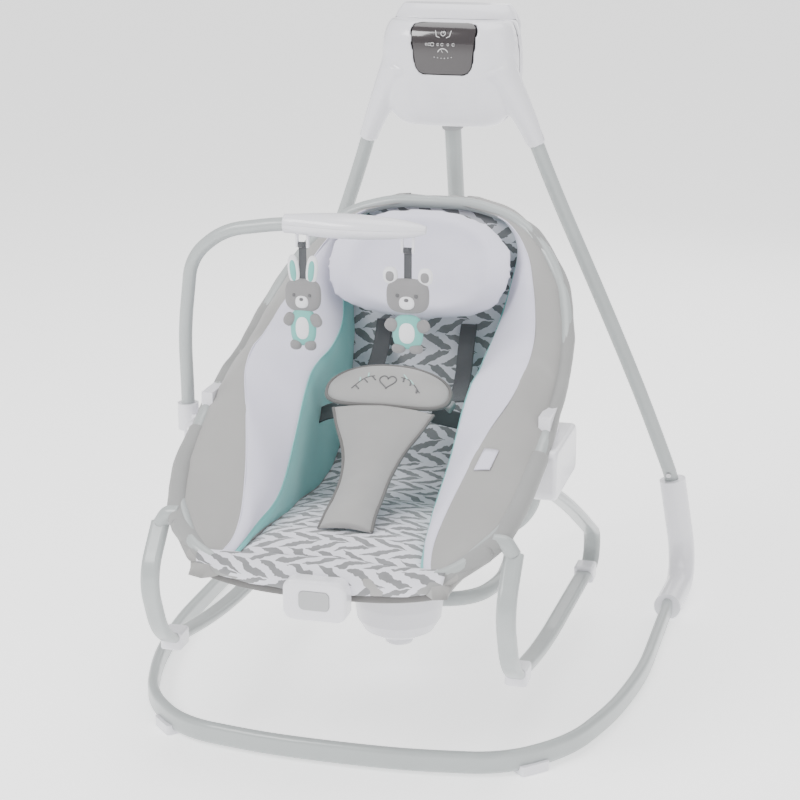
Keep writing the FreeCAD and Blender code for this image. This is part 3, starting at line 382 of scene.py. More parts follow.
NODE_FINISHES: dict[str, Finish] = {}
for _finish, _nodes in (
        (TUBE_PAINT, "base_tube left_leg_tube right_leg_tube upper_arm_tube lower_arm_tube cross_tube "
                     "left_rocker_tube right_rocker_tube rim_tubes toy_bar_tube rim_clamps"),
        (WHITE_SHELL, "left_joint_cover right_joint_cover front_feet head_front_cover head_rear_cover "
                      "top_handle battery_door seat_hub seat_release_button seat_mount rocker_feet "
                      "left_side_hub "
                      "right_side_hub vibration_housing toy_bar_socket toy_tray_top toy_tray_bottom"),
        (FLOOR_RUBBER, "rear_floor_pads"),
        (DARK_GLASS, "display_panel power_button melody_button"),
        (STEEL, "cover_screws pivot_shaft pivot_plates drive_motor vibration_motor leg_snap_buttons "
                "arm_snap_button batteries"),
        (GREY_RESIN, "drive_gear motor_pinion pivot_bushes arm_yoke battery_tray circuit_board waist_buckles"),
        (BUTTON_RESIN, "vibration_button")):
    for _node in _nodes.split():
        NODE_FINISHES[_node] = _finish


# ---------------------------------------------------------------- mesh tools
def make_object(name: str, points: Sequence[Sequence[float]], faces: Sequence[Sequence[int]],
                materials: Sequence[bpy.types.Material],
                face_material: Sequence[int] | None = None) -> bpy.types.Object:
    """Make a smooth mesh object.

    Args:
        name: piece name.
        points: vertices in metres.
        faces: vertex indices of each face.
        materials: the object's materials.
        face_material: material index of each face.

    Returns:
        The linked object.
    """
    mesh = bpy.data.meshes.new(name)
    mesh.from_pydata([tuple(p) for p in points], [], [tuple(f) for f in faces])
    for material in materials:
        mesh.materials.append(material)
    if face_material is not None:
        mesh.polygons.foreach_set("material_index", list(face_material))
    mesh.polygons.foreach_set("use_smooth", [True] * len(mesh.polygons))
    mesh.validate()
    tidy_normals(mesh)
    piece = bpy.data.objects.new(name, mesh)
    bpy.context.collection.objects.link(piece)
    return piece


def tidy_normals(mesh: bpy.types.Mesh) -> None:
    """Turn every face of a closed mesh outward."""
    work = bmesh.new()
    work.from_mesh(mesh)
    bmesh.ops.recalc_face_normals(work, faces=work.faces)
    work.to_mesh(mesh)
    work.free()


def weld(piece: bpy.types.Object) -> None:
    """Join vertices that lie on each other and turn every face outward."""
    work = bmesh.new()
    work.from_mesh(piece.data)
    bmesh.ops.remove_doubles(work, verts=work.verts, dist=1e-5)
    bmesh.ops.recalc_face_normals(work, faces=work.faces)
    work.to_mesh(piece.data)
    work.free()


def two_discs(rings: int, spokes: int) -> list[tuple[int, ...]]:
    """Faces of a front and a back disc of polar rings, whose edges are not yet joined."""
    front: list[tuple[int, ...]] = list(grid_faces(rings + 1, spokes, True))
    return front + [tuple(i + (rings + 1) * spokes for i in face) for face in front]


def squarish(turn: float, power: float) -> tuple[float, float]:
    """Point of a unit oval whose corners are squarer as the power falls below 1."""
    c, s = math.cos(turn), math.sin(turn)
    return math.copysign(abs(c) ** power, c), math.copysign(abs(s) ** power, s)


def grid_faces(rows: int, columns: int, wrap: bool) -> list[tuple[int, int, int, int]]:
    """Quads of a grid whose columns may wrap round."""
    faces = []
    last = columns if wrap else columns - 1
    for i in range(rows - 1):
        for j in range(last):
            k = (j + 1) % columns
            faces.append((i * columns + j, i * columns + k, (i + 1) * columns + k, (i + 1) * columns + j))
    return faces


def cap(centre: Sequence[float], ring: Sequence[int], points: list) -> list[tuple[int, int, int]]:
    """Close a ring of vertices with a fan round a new centre point."""
    points.append(tuple(centre))
    hub = len(points) - 1
    return [(ring[i], ring[(i + 1) % len(ring)], hub) for i in range(len(ring))]


def spline(rows: np.ndarray, count: int) -> np.ndarray:
    """Smooth Catmull-Rom samples through the rows of a table.

    Args:
        rows: knots, one per row.
        count: number of samples.

    Returns:
        The samples, evenly spaced in knot number.
    """
    knots = np.vstack([2 * rows[0] - rows[1], rows, 2 * rows[-1] - rows[-2]])
    out = []
    for value in np.linspace(0, len(rows) - 1 - 1e-9, count):
        i = int(value)
        t = value - i
        a, b, c, d = knots[i:i + 4]
        square, cube = 2 * a - 5 * b + 4 * c - d, 3 * b - a - 3 * c + d
        out.append(0.5 * (2 * b + (c - a) * t + square * t ** 2 + cube * t ** 3))
    return np.array(out)


def wrinkle(point: Sequence[float], size: float, depth: float, seed: float = 0.0) -> float:
    """Height of soft creases at a point, for folds of a given size."""
    place = Vector(point) / size + Vector((seed, seed * 0.7, -seed))
    return depth * (noise.noise(place) + 0.5 * noise.noise(place * 2.1))


def puff(piece: bpy.types.Object, height: Callable[[Vector], float]) -> None:
    """Move each vertex along its normal by a height that depends on its place."""
    mesh = piece.data
    normals = [v.normal.copy() for v in mesh.vertices]
    for vertex, normal in zip(mesh.vertices, normals):
        vertex.co += normal * height(vertex.co)
    mesh.update()


def swept_cord(name: str, path: Sequence[Sequence[float]], radius: float, material: bpy.types.Material,
               sides: int = 8, closed: bool = False, flat: float = 1.0) -> bpy.types.Object:
    """Round or flattened cord along a list of points, as a closed mesh.

    Args:
        name: piece name.
        path: centre line, in metres.
        radius: half thickness.
        material: its material.
        sides: corners of its section.
        closed: whether the path is a ring.
        flat: height of the section over its width.

    Returns:
        The cord.
    """
    line = [Vector(p) for p in path]
    count = len(line)
    rings = []
    up = Vector((0, 0, 1))
    for i, point in enumerate(line):
        before = line[i - 1] if i or closed else line[0]
        after = line[(i + 1) % count] if i + 1 < count or closed else line[-1]
        tangent = (after - before).normalized()
        side = tangent.cross(up)
        if side.length < 0.05:
            side = tangent.cross(Vector((1, 0, 0)))
        side.normalize()
        top = side.cross(tangent).normalized()
        for k in range(sides):
            turn = 2 * math.pi * k / sides
            rings.append(point + side * (radius * math.cos(turn)) + top * (radius * flat * math.sin(turn)))
    points = [tuple(p) for p in rings]
    faces: list = grid_faces(count, sides, True)
    if closed:
        base = (count - 1) * sides
        faces += [(base + j, base + (j + 1) % sides, (j + 1) % sides, j) for j in range(sides)]
    else:
        faces += cap(line[0], list(range(sides)), points)
        faces += cap(line[-1], list(range((count - 1) * sides, count * sides)), points)
    return make_object(name, points, faces, [material])


def merge(name: str, pieces: Sequence[bpy.types.Object]) -> bpy.types.Object:
    """Join several mesh objects into one piece with a new name."""
    bpy.ops.object.select_all(action="DESELECT")
    for piece in pieces:
        piece.select_set(True)
    bpy.context.view_layer.objects.active = pieces[0]
    if len(pieces) > 1:
        bpy.ops.object.join()
    pieces[0].name = name
    pieces[0].data.name = name
    return pieces[0]


def inflate(piece: bpy.types.Object, pressure: float, furthest: float, voxel: float = 0.0,
            seams: Iterable[int] = ()) -> bpy.types.Object:
    """Swell a closed cushion with the cloth solver and keep the result.

    Args:
        piece: closed mesh.
        pressure: air pressure of the cloth.
        furthest: how far a point may move, in metres.
        voxel: remesh size in metres, or 0 to keep the mesh.
        seams: vertices that are stitched down.

    Returns:
        The same piece, with its shape replaced.
    """
    bpy.ops.object.select_all(action="DESELECT")
    piece.select_set(True)
    bpy.context.view_layer.objects.active = piece
    if voxel:
        remesh = piece.modifiers.new("remesh", "REMESH")
        remesh.mode = "VOXEL"
        remesh.voxel_size = voxel
        bpy.ops.object.modifier_apply(modifier=remesh.name)
    start = np.array([v.co[:] for v in piece.data.vertices])
    cloth = piece.modifiers.new("air", "CLOTH")
    cloth.settings.use_pressure = True
    cloth.settings.uniform_pressure_force = pressure
    cloth.settings.effector_weights.gravity = 0.0
    cloth.settings.quality = 4
    pinned = list(seams)
    if pinned:
        group = piece.vertex_groups.new(name="seams")
        group.add(pinned, 1.0, "REPLACE")
        cloth.settings.vertex_group_mass = group.name
    cloth.point_cache.frame_start = 1
    cloth.point_cache.frame_end = 20
    for step in range(1, 21):
        bpy.context.scene.frame_set(step)
    solved = piece.evaluated_get(bpy.context.evaluated_depsgraph_get())
    end = np.array([v.co[:] for v in solved.data.vertices])
    piece.modifiers.remove(cloth)
    bpy.context.scene.frame_set(1)
    shift = end - start
    length = np.linalg.norm(shift, axis=1, keepdims=True)
    shift *= np.minimum(1.0, furthest / np.maximum(length, 1e-9))
    piece.data.vertices.foreach_set("co", (start + shift).ravel())
    piece.data.polygons.foreach_set("use_smooth", [True] * len(piece.data.polygons))
    piece.data.update()
    LOG.info("%s swelled by up to %.1f mm", piece.name, float(np.linalg.norm(shift, axis=1).max()) * 1000)
    return piece


def relax(piece: bpy.types.Object, rounds: int) -> None:
    """Even out the small steps of a mesh by moving vertices towards their neighbours."""
    work = bmesh.new()
    work.from_mesh(piece.data)
    for _ in range(rounds):
        bmesh.ops.smooth_vert(work, verts=work.verts, factor=0.5,
                              use_axis_x=True, use_axis_y=True, use_axis_z=True)
    work.to_mesh(piece.data)
    work.free()


def blended(name: str, node: str, voxel: float, rounds: int, finish: Finish) -> bpy.types.Object:
    """Copy of a moulded CAD node whose creases are melted together.

    Args:
        name: piece name.
        node: CAD node it stands for.
        voxel: remesh size in metres.
        rounds: smoothing passes.
        finish: its surface.

    Returns:
        The softened copy.
    """
    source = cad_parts[node]
    piece = bpy.data.objects.new(name, source.data.copy())
    piece.matrix_world = source.matrix_world.copy()
    piece.data.name = name
    bpy.context.collection.objects.link(piece)
    remesh = piece.modifiers.new("remesh", "REMESH")
    remesh.mode = "VOXEL"
    remesh.voxel_size = voxel
    smooth = piece.modifiers.new("smooth", "SMOOTH")
    smooth.factor = 0.5
    smooth.iterations = rounds
    bpy.ops.object.select_all(action="DESELECT")
    piece.select_set(True)
    bpy.context.view_layer.objects.active = piece
    bpy.ops.object.modifier_apply(modifier=remesh.name)
    bpy.ops.object.modifier_apply(modifier=smooth.name)
    piece.data.materials.clear()
    piece.data.materials.append(finish.build())
    piece.data.polygons.foreach_set("use_smooth", [True] * len(piece.data.polygons))
    return piece


def hold(piece: bpy.types.Object, body: str, slot: str, *nodes: str) -> bpy.types.Object:
    """Ride a finished piece on a body and hide what it stands for."""
    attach(piece, body)
    if nodes:
        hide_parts(*nodes)
    LOG.info("%s rides on %s", piece.name, body)
    return piece


# ---------------------------------------------------------------- seat
# Angle round the bowl's centre line, then half width and radius
# of the pad edge, the inner seam, the crest and the rim.
BOWL_STATIONS = [
    (-133.5, 150, 446, 150, 444, 152, 440, 178, 424), (-130, 130, 425, 130, 420, 135, 406, 222, 366),
    (-127.5, 122, 402, 121, 392, 133, 362, 234, 334), (-123, 118, 376, 115, 358, 146, 290, 245, 281),
    (-115, 115, 350, 108, 312, 168, 208, 248, 236), (-102, 116, 332, 112, 236, 188, 158, 250, 191),
    (-90, 118, 330, 114, 188, 195, 136, 249, 172), (-75, 118, 348, 116, 168, 197, 128, 248, 162),
    (-60, 118, 360, 117, 178, 195, 135, 245, 168), (-45, 118, 340, 114, 206, 192, 146, 241, 177),
    (-30, 120, 311, 117, 242, 185, 164, 234, 197), (-15, 128, 300, 128, 256, 172, 197, 218, 229),
    (-3, 132, 304, 134, 270, 152, 241, 186, 256), (5, 98, 312, 104, 292, 114, 276, 138, 280),
    (8.5, 42, 314, 44, 298, 48, 288, 60, 288)]


@dataclass
class Bowl:
    """The seat's shape: polar stations round a centre line along X."""

    centre_y: float = -0.100 + DATUM_Y
    centre_z: float = 0.620
    samples: int = 110
    rim_tube: float = 9.5 * MM
    table: np.ndarray = field(default_factory=lambda: np.array(BOWL_STATIONS, float))

    def rows(self) -> np.ndarray:
        """Smooth stations: angle in radians, then widths and radii in metres."""
        out = spline(self.table, self.samples)
        out[:, 0] = np.radians(out[:, 0])
        out[:, 1:] *= MM
        return out

    def place(self, angle: float, x: float, radius: float) -> Point:
        """Point of the row frame at an angle, a width and a radius."""
        return x, self.centre_y + radius * math.cos(angle), self.centre_z + radius * math.sin(angle)


@dataclass
class Bolster:
    """One side wing: grey outer band, white crest band and aqua inner band."""

    bowl: Bowl
    side: float
    band_bulge: float = 5 * MM
    crest_bulge: float = 7 * MM
    pad_thick: float = 20 * MM
    sleeve: float = 1.8 * MM

    def section(self, row: np.ndarray) -> tuple[list[tuple[float, float]], list[int]]:
        """Closed outline of one station.

        Args:
            row: a smooth station of the bowl.

        Returns:
            Width and radius of each point, and the material of each stretch that starts there.
        """
        _, pad_x, pad_r, seam_x, seam_r, crest_x, crest_r, rim_x, rim_r = row
        points: list[tuple[float, float]] = []
        kinds: list[int] = []
        tube_x, tube_r = rim_x - self.bowl.rim_tube, rim_r + self.bowl.rim_tube
        round_r = self.bowl.rim_tube + self.sleeve
        start, finish = math.radians(120), math.radians(-118)
        for k in range(9):
            turn = start + (finish - start) * k / 8
            points.append((tube_x + round_r * math.cos(turn), tube_r + round_r * math.sin(turn)))
            kinds.append(3)
        top = points[-1]
        self.stretch(points, kinds, top, (crest_x, crest_r), 12, self.band_bulge, 0)
        self.stretch(points, kinds, (crest_x, crest_r), (seam_x, seam_r), 12, self.crest_bulge, 1)
        self.stretch(points, kinds, (seam_x, seam_r), (pad_x - 3 * MM, pad_r), 8, 3 * MM, 2)
        points.append((pad_x + 2 * MM, pad_r + self.pad_thick))
        kinds.append(0)
        low = (pad_x + 20 * MM, pad_r + self.pad_thick)
        self.stretch(points, kinds, low, points[0], 9, 4 * MM, 0)
        points.pop()
        kinds.pop()
        return points, kinds

    @staticmethod
    def stretch(points: list, kinds: list, start: tuple[float, float], end: tuple[float, float],
                steps: int, bulge: float, kind: int) -> None:
        """Add a bulging stretch that ends at the next seam; both ends are narrow grooves."""
        run = (end[0] - start[0], end[1] - start[1])
        length = math.hypot(*run) or 1e-6
        normal = (run[1] / length, -run[0] / length)
        bulge = min(bulge, length * 0.16)
        for k in range(1, steps + 1):
            t = k / steps
            lift = bulge * (1 - abs(2 * t - 1) ** 2.6)
            place = (start[0] + run[0] * t - normal[0] * lift, start[1] + run[1] * t - normal[1] * lift)
            points.append(place)
            kinds.append(kind)

    def build(self) -> bpy.types.Object:
        """Make the wing, close its ends and crease it lightly."""
        points: list = []
        face_material: list[int] = []
        rows = self.bowl.rows()
        kinds: list[int] = []
        columns = 0
        for row in rows:
            outline, kinds = self.section(row)
            columns = len(outline)
            for x, r in outline:
                px, py, pz = self.bowl.place(row[0], x, r)
                points.append((px * self.side, py, pz))
        faces: list = grid_faces(len(rows), columns, True)
        for _ in range(len(rows) - 1):
            face_material += [kinds[(j + 1) % columns] for j in range(columns)]
        for ring in (list(range(columns)), list(range((len(rows) - 1) * columns, len(rows) * columns))):
            centre = np.mean([points[i] for i in ring], axis=0)
            faces += cap(centre, ring, points)
            face_material += [0] * columns
        name = "right_wing" if self.side > 0 else "left_wing"
        cloths = [GREY_CLOTH.build(), WHITE_CLOTH.build(), AQUA_CLOTH.build(), SLEEVE_CLOTH.build()]
        wing = make_object(name, points, faces, cloths, face_material)
        stitched = [i * columns + j for i in range(len(rows)) for j in (0, 4, 8, 20, 32, 40, 41)]
        inflate(wing, 3.0, 5 * MM, seams=stitched)
        puff(wing, lambda p: wrinkle(p, 0.055, 0.0016, 3.0 * self.side))
        return wing

    def tag(self) -> bpy.types.Object:
        """Small blank label sewn to the outer band near the front."""
        points = []
        steps, widths = 5, 7
        for face in (2.2 * MM, 0.0):
            for angle in np.linspace(math.radians(-121.5), math.radians(-118.6), steps):
                row = [np.interp(angle, self.bowl.rows()[:, 0], self.bowl.rows()[:, k]) for k in range(9)]
                for t in np.linspace(0.12, 0.34, widths):
                    x = row[5] + (row[7] - row[5]) * t
                    bulge = 5.5 * MM * (1 - abs(2 * t - 1) ** 2.6)
                    r = row[6] + (row[8] - row[6]) * t - bulge - face - 4.5 * MM
                    px, py, pz = self.bowl.place(angle, x, r)
                    points.append((px * self.side, py, pz))
        count = steps * widths
        faces: list = grid_faces(steps, widths, False)
        faces += [tuple(i + count for i in f) for f in grid_faces(steps, widths, False)]
        border = list(range(widths)) + [i * widths + widths - 1 for i in range(1, steps)]
        border += list(range(count - 2, count - widths - 1, -1))
        border += [i * widths for i in range(steps - 2, 0, -1)]
        for k, first in enumerate(border):
            second = border[(k + 1) % len(border)]
            faces.append((first, second, second + count, first + count))
        return make_object("blank_label", points, faces, [WHITE_CLOTH.build()])

    def seams(self) -> list[bpy.types.Object]:
        """Piping along the crest and stitching along the inner seam."""
        rows = self.bowl.rows()[6:-6]
        word = "right" if self.side > 0 else "left"
        lines = {"crest_seam": (5, 6, -0.2 * MM, 0.9 * MM, WHITE_CLOTH),
                 "inner_seam": (3, 4, -0.6 * MM, 0.9 * MM, AQUA_CLOTH)}
        made = []
        for label, (ix, ir, lift, radius, finish) in lines.items():
            path = []
            for row in rows:
                x, y, z = self.bowl.place(row[0], row[ix], row[ir] + lift)
                path.append((x * self.side, y, z))
            made.append(swept_cord(word + "_" + label, path, radius, finish.build()))
        return made


@dataclass
class Liner:
    """Printed cushion of the seat and back, wrapped over the front tube."""

    bowl: Bowl
    thick: float = 19 * MM
    crown: float = 7 * MM
    columns: int = 44
    front: tuple[tuple[float, float, float], ...] = (
        (-0.3935, 0.2655, 0.156), (-0.4030, 0.2745, 0.160), (-0.4065, 0.2880, 0.163),
        (-0.4010, 0.2990, 0.163), (-0.3860, 0.3045, 0.158))
    channels: tuple[float, ...] = (0.185, 0.36, 0.50, 0.62)

    def path(self) -> list[tuple[float, float, float]]:
        """Centre line (y, z) and half width of the cushion's face, from the front hem to the top."""
        line = [(y + DATUM_Y, z, half) for y, z, half in self.front]
        for row in self.bowl.rows():
            if math.degrees(row[0]) < -129.5:
                continue
            _, y, z = self.bowl.place(row[0], 0.0, row[2])
            line.append((y, z, row[1] + 3 * MM))
        return line

    def build(self) -> bpy.types.Object:
        """Make the closed cushion with its metre-sized map for the print."""
        line = np.array(self.path())
        fine = spline(line, 170)
        lengths = np.concatenate([[0.0], np.cumsum(np.linalg.norm(np.diff(fine[:, :2], axis=0), axis=1))])
        tangents = np.gradient(fine[:, :2], axis=0)
        tangents /= np.linalg.norm(tangents, axis=1, keepdims=True)
        points, uvs = [], []
        n = self.columns
        for (y, z, half), (ty, tz), s in zip(fine, tangents, lengths):
            up = (-tz, ty)
            fat = self.thick * min(1.0, max(0.09, (s - 0.035) / 0.06))
            seam = min(abs(s - c) for c in self.channels)
            dip = 2.6 * MM * math.exp(-(seam / 0.007) ** 2)
            soft = min(1.0, max(0.0, (s - 0.03) / 0.05))
            for k in range(n + 1):
                u = 2 * k / n - 1
                lift = self.crown * soft * (1 - abs(u) ** 2.4) - dip
                lift -= 5 * MM * soft * max(0.0, (abs(u) - 0.9) / 0.1) ** 2
                rise = self.lift_of_edge(u) * (1 - soft)
                points.append((u * half, y + up[0] * lift, z + up[1] * lift + rise))
                uvs.append((u * half, s))
            for k in range(n + 1):
                u = 1 - 2 * k / n
                rise = self.lift_of_edge(u) * (1 - soft)
                points.append((u * half, y - up[0] * fat, z - up[1] * fat + rise))
                uvs.append((u * half, s))
        columns = 2 * (n + 1)
        faces: list = grid_faces(len(fine), columns, True)
        for ring in (list(range(columns)), list(range((len(fine) - 1) * columns, len(fine) * columns))):
            centre = np.mean([points[i] for i in ring], axis=0)
            uvs.append(tuple(np.mean([uvs[i] for i in ring], axis=0)))
            faces += cap(centre, ring, points)
        face_material = [0 if face[0] % columns < n else 1 for face in faces]
        cloths = [PRINTED_CLOTH.build(), GREY_CLOTH.build()]
        piece = make_object("printed_liner", points, faces, cloths, face_material)
        layer = piece.data.uv_layers.new(name="liner")
        for loop in piece.data.loops:
            layer.data[loop.index].uv = uvs[loop.vertex_index]
        rows_held = [i for i, s in enumerate(lengths)
                     if s < 0.05 or min(abs(s - c) for c in self.channels) < 0.003]
        stitched = {i * columns + k for i in rows_held for k in range(columns)}
        stitched |= {i * columns + k for i in range(len(fine)) for k in (0, n, n + 1, columns - 1)}
        inflate(piece, 2.5, 5 * MM, seams=sorted(stitched))
        puff(piece, lambda p: wrinkle(p, 0.045, 0.0022, 9.0) + wrinkle(p, 0.018, 0.0006, 5.0))
        return piece

    def hem(self) -> bpy.types.Object:
        """Grey tape along the lower front edge, wrapped under the front tube."""
        y, z, half = self.front[0]
        y += DATUM_Y
        profile = ((-3.4, 6.0), (-4.6, 0.0), (-2.6, -5.0), (3.0, -8.0),
                   (3.0, -5.6), (-0.6, -2.4), (-1.8, 1.0), (-0.6, 6.0))
        points = []
        steps = 40
        for k in range(steps + 1):
            x = (2 * k / steps - 1) * (half + 1 * MM)
            for dy, dz in profile:
                points.append((x, y + dy * MM, z + dz * MM + self.lift_of_edge(x / half)))
        columns = len(profile)
        faces: list = grid_faces(steps + 1, columns, True)
        faces += [tuple(range(columns)), tuple(range(steps * columns, (steps + 1) * columns))]
        return make_object("front_hem_tape", points, faces, [BINDING.build()])

    @staticmethod
    def lift_of_edge(u: float) -> float:
        """Rise of the front edge towards its corners."""
        return 16 * MM * abs(u) ** 3

    def sleeve(self, side: float) -> bpy.types.Object:
        """Cloth sleeve round the rim tube's front corner on one side."""
        half = self.bowl.rim_tube
        path = []
        for row in self.bowl.rows():
            if math.degrees(row[0]) > -112.0:
                break
            x, y, z = self.bowl.place(row[0], row[7] - half, row[8] + half)
            path.append((x * side, y, z))
        path.reverse()
        path = path[:-5]
        for x, y, z in ((0.158, -0.3925, 0.3000), (0.138, -0.3930, 0.2920),
                        (0.112, -0.3920, 0.2880), (0.090, -0.3920, 0.2870)):
            path.append((x * side, y + DATUM_Y, z))
        line = spline(np.array(path), 90)
        word = "right" if side > 0 else "left"
        piece = swept_cord(word + "_rim_sleeve", line, 12.6 * MM, SLEEVE_CLOTH.build(), 20)
        puff(piece, lambda p: wrinkle(p, 0.03, 0.0006, 7.0 * side))
        return piece


@dataclass
class Headrest:
    """White oval head support with a raised ring and a hollow middle."""

    node: str = "headrest"
    rings: int = 26
    spokes: int = 96
    lean: float = math.radians(20.0)
    thick: float = 24 * MM

    def build(self) -> bpy.types.Object:
        """Make the cushion from polar rings, and swell it."""
        low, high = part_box(self.node)
        half_x = (high.x - low.x) / 2 * 1.09
        half_s = (high.z - low.z) / 2 / math.cos(self.lean) * 1.0
        centre = (low + high) / 2
        points, faces = [], []
        for face in (1.0, -1.0):
            for i in range(self.rings + 1):
                rho = i / self.rings
                for k in range(self.spokes):
                    turn = 2 * math.pi * k / self.spokes
                    across, along = squarish(turn, 0.86)
                    x, up = half_x * rho * across, half_s * rho * along
                    points.append(self.lift(centre, x, up, rho, face, half_x, half_s))
        columns = self.spokes
        count = (self.rings + 1) * columns
        faces = two_discs(self.rings, columns)
        edge = self.rings * columns
        faces += [(edge + k, edge + (k + 1) % columns, count + edge + (k + 1) % columns, count + edge + k)
                  for k in range(columns)]
        piece = make_object("head_support", points, faces, [WHITE_PLUSH.build()])
        weld(piece)
        inflate(piece, 4.0, 4 * MM, voxel=5 * MM)
        relax(piece, 8)
        puff(piece, lambda p: wrinkle(p, 0.04, 0.0014, 2.0))
        return piece

    def lift(self, centre: Vector, x: float, up: float, rho: float, face: float,
             half_x: float, half_s: float) -> Point:
        """Place one point of the front (face 1) or back (face -1)."""
        ring = math.exp(-((rho - 0.80) / 0.16) ** 2)
        hollow = math.exp(-(rho / 0.5) ** 2)
        edge = math.sqrt(max(0.0, 1 - rho ** 6))
        depth = (0.22 + 0.46 * ring - 0.16 * hollow) * edge if face > 0 else 0.35 * edge
        out = face * depth * self.thick
        fold = -0.026 * (x / half_x) ** 2 * (1.0 - 0.55 * up / half_s)
        y = centre.y + up * math.sin(self.lean) - out * math.cos(self.lean) + fold + 3 * MM
        z = centre.z + up * math.cos(self.lean) + out * math.sin(self.lean)
        return centre.x + x, y, z


@dataclass
class Restraint:
    """Crotch panel, tummy pad with its bound edge and embroidery, and the harness straps."""

    panel_line: tuple[tuple[float, float, float], ...] = (
        (-0.290, 0.322, 0.036), (-0.262, 0.336, 0.034), (-0.222, 0.348, 0.033), (-0.186, 0.364, 0.034),
        (-0.152, 0.386, 0.043), (-0.122, 0.410, 0.060), (-0.098, 0.429, 0.072))
    pad_tilt: float = math.radians(38.0)
    pad_half: float = 8.5 * MM
    pad_power: float = 0.8
    stitch_lift: float = 8.6 * MM
    strap_wide: float = 25 * MM
    strap_thick: float = 1.8 * MM

    def panel(self) -> list[bpy.types.Object]:
        """The panel between the legs and the tape round its edges."""
        fine = spline(np.array([(y + DATUM_Y, z, w) for y, z, w in self.panel_line]), 46)
        tangents = np.gradient(fine[:, :2], axis=0)
        tangents /= np.linalg.norm(tangents, axis=1, keepdims=True)
        points = []
        n = 18
        edges: tuple[list, list] = ([], [])
        for (y, z, half), (ty, tz) in zip(fine, tangents):
            up = (-tz, ty)
            for face in (1.0, -1.0):
                for k in range(n + 1):
                    u = (2 * k / n - 1) * face
                    lift = face * (4.2 * MM * (1 - abs(u) ** 2.2) + 0.4 * MM)
                    drop = -9 * MM * abs(u) ** 2
                    points.append((u * half, y + up[0] * (lift + drop), z + up[1] * (lift + drop)))
            for side in (0, 1):
                sign = 1 if side else -1
                edges[side].append((sign * half, y - up[0] * 9 * MM, z - up[1] * 9 * MM))
        columns = 2 * (n + 1)
        faces: list = grid_faces(len(fine), columns, True)
        for ring in (list(range(columns)), list(range((len(fine) - 1) * columns, len(fine) * columns))):
            faces += cap(np.mean([points[i] for i in ring], axis=0), ring, points)
        panel = make_object("crotch_cover", points, faces, [PANEL_CLOTH.build()])
        puff(panel, lambda p: wrinkle(p, 0.03, 0.0010, 4.0))
        tapes = [swept_cord("panel_tape_" + word, line, 2.6 * MM, BINDING.build(), 10, False, 0.8)
                 for word, line in zip(("left", "right"), edges)]
        return [panel] + tapes

    def pad(self) -> tuple[bpy.types.Object, bpy.types.Object, list[bpy.types.Object]]:
        """The oval tummy pad, its binding and its stitched motif."""
        low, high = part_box("tummy_pad")
        centre = (low + high) / 2
        half_x = (high.x - low.x) / 2
        half_s = 34 * MM
        cos, sin = math.cos(self.pad_tilt), math.sin(self.pad_tilt)

        def place(x: float, s: float, lift: float) -> Point:
            """Point of the pad from its own x, s and height."""
            sag = -14 * MM * (x / half_x) ** 2
            return (centre.x + x, centre.y + s * cos - lift * sin, centre.z + s * sin + (lift + sag) * cos)

        points = []
        rings, spokes = 18, 72
        for face in (1.0, -1.0):
            for i in range(rings + 1):
                rho = i / rings
                edge = math.sqrt(max(0.0, 1 - rho ** 4))
                for k in range(spokes):
                    turn = 2 * math.pi * k / spokes
                    across, along = squarish(turn, self.pad_power)
                    lift = face * edge * self.pad_half
                    points.append(place(half_x * rho * across, half_s * rho * along, lift))
        pad = make_object("tummy_cushion", points, two_discs(rings, spokes), [PANEL_CLOTH.build()])
        weld(pad)
        ring = []
        for k in range(96):
            across, along = squarish(2 * math.pi * k / 96, self.pad_power)
            ring.append(place(half_x * across, half_s * along, 0.0))
        tape = swept_cord("tummy_tape", ring, 3.0 * MM, BINDING.build(), 10, True)
        motif = []
        for label, x0, flip in (("left_sprig", -0.050, 1.0), ("right_sprig", 0.048, -1.0)):
            stem = [place(x0 + flip * (t * 0.030), -0.010 + 0.020 * t + 0.006 * math.sin(3 * t),
                          self.stitch_lift) for t in np.linspace(0, 1, 12)]
            motif.append(swept_cord(label + "_stem", stem, 0.7 * MM, THREAD_DARK.build(), 6))
            for j in range(5):
                t = 0.15 + 0.18 * j
                x, s = x0 + flip * t * 0.030, -0.010 + 0.020 * t + 0.006 * math.sin(3 * t)
                way = 1 if j % 2 else -1
                leaf = [place(x + flip * 0.003 * k / 3 - way * 0.0035 * k / 3, s + way * 0.007 * k / 3,
                              self.stitch_lift) for k in range(4)]
                finish = THREAD_AQUA if j % 2 else THREAD_DARK
                name = label + "_leaf" + str(j)
                motif.append(swept_cord(name, leaf, 1.3 * MM, finish.build(), 6, False, 0.5))
        heart = []
        for t in np.linspace(0, 2 * math.pi, 40, endpoint=False):
            hx = 16 * math.sin(t) ** 3
            hs = 13 * math.cos(t) - 5 * math.cos(2 * t) - 2 * math.cos(3 * t) - math.cos(4 * t)
            heart.append(place(hx * 0.75 * MM, 0.002 + hs * 0.75 * MM, 8.9 * MM))
        motif.append(swept_cord("heart_outline", heart, 0.9 * MM, THREAD_DARK.build(), 6, True))
        return pad, tape, motif

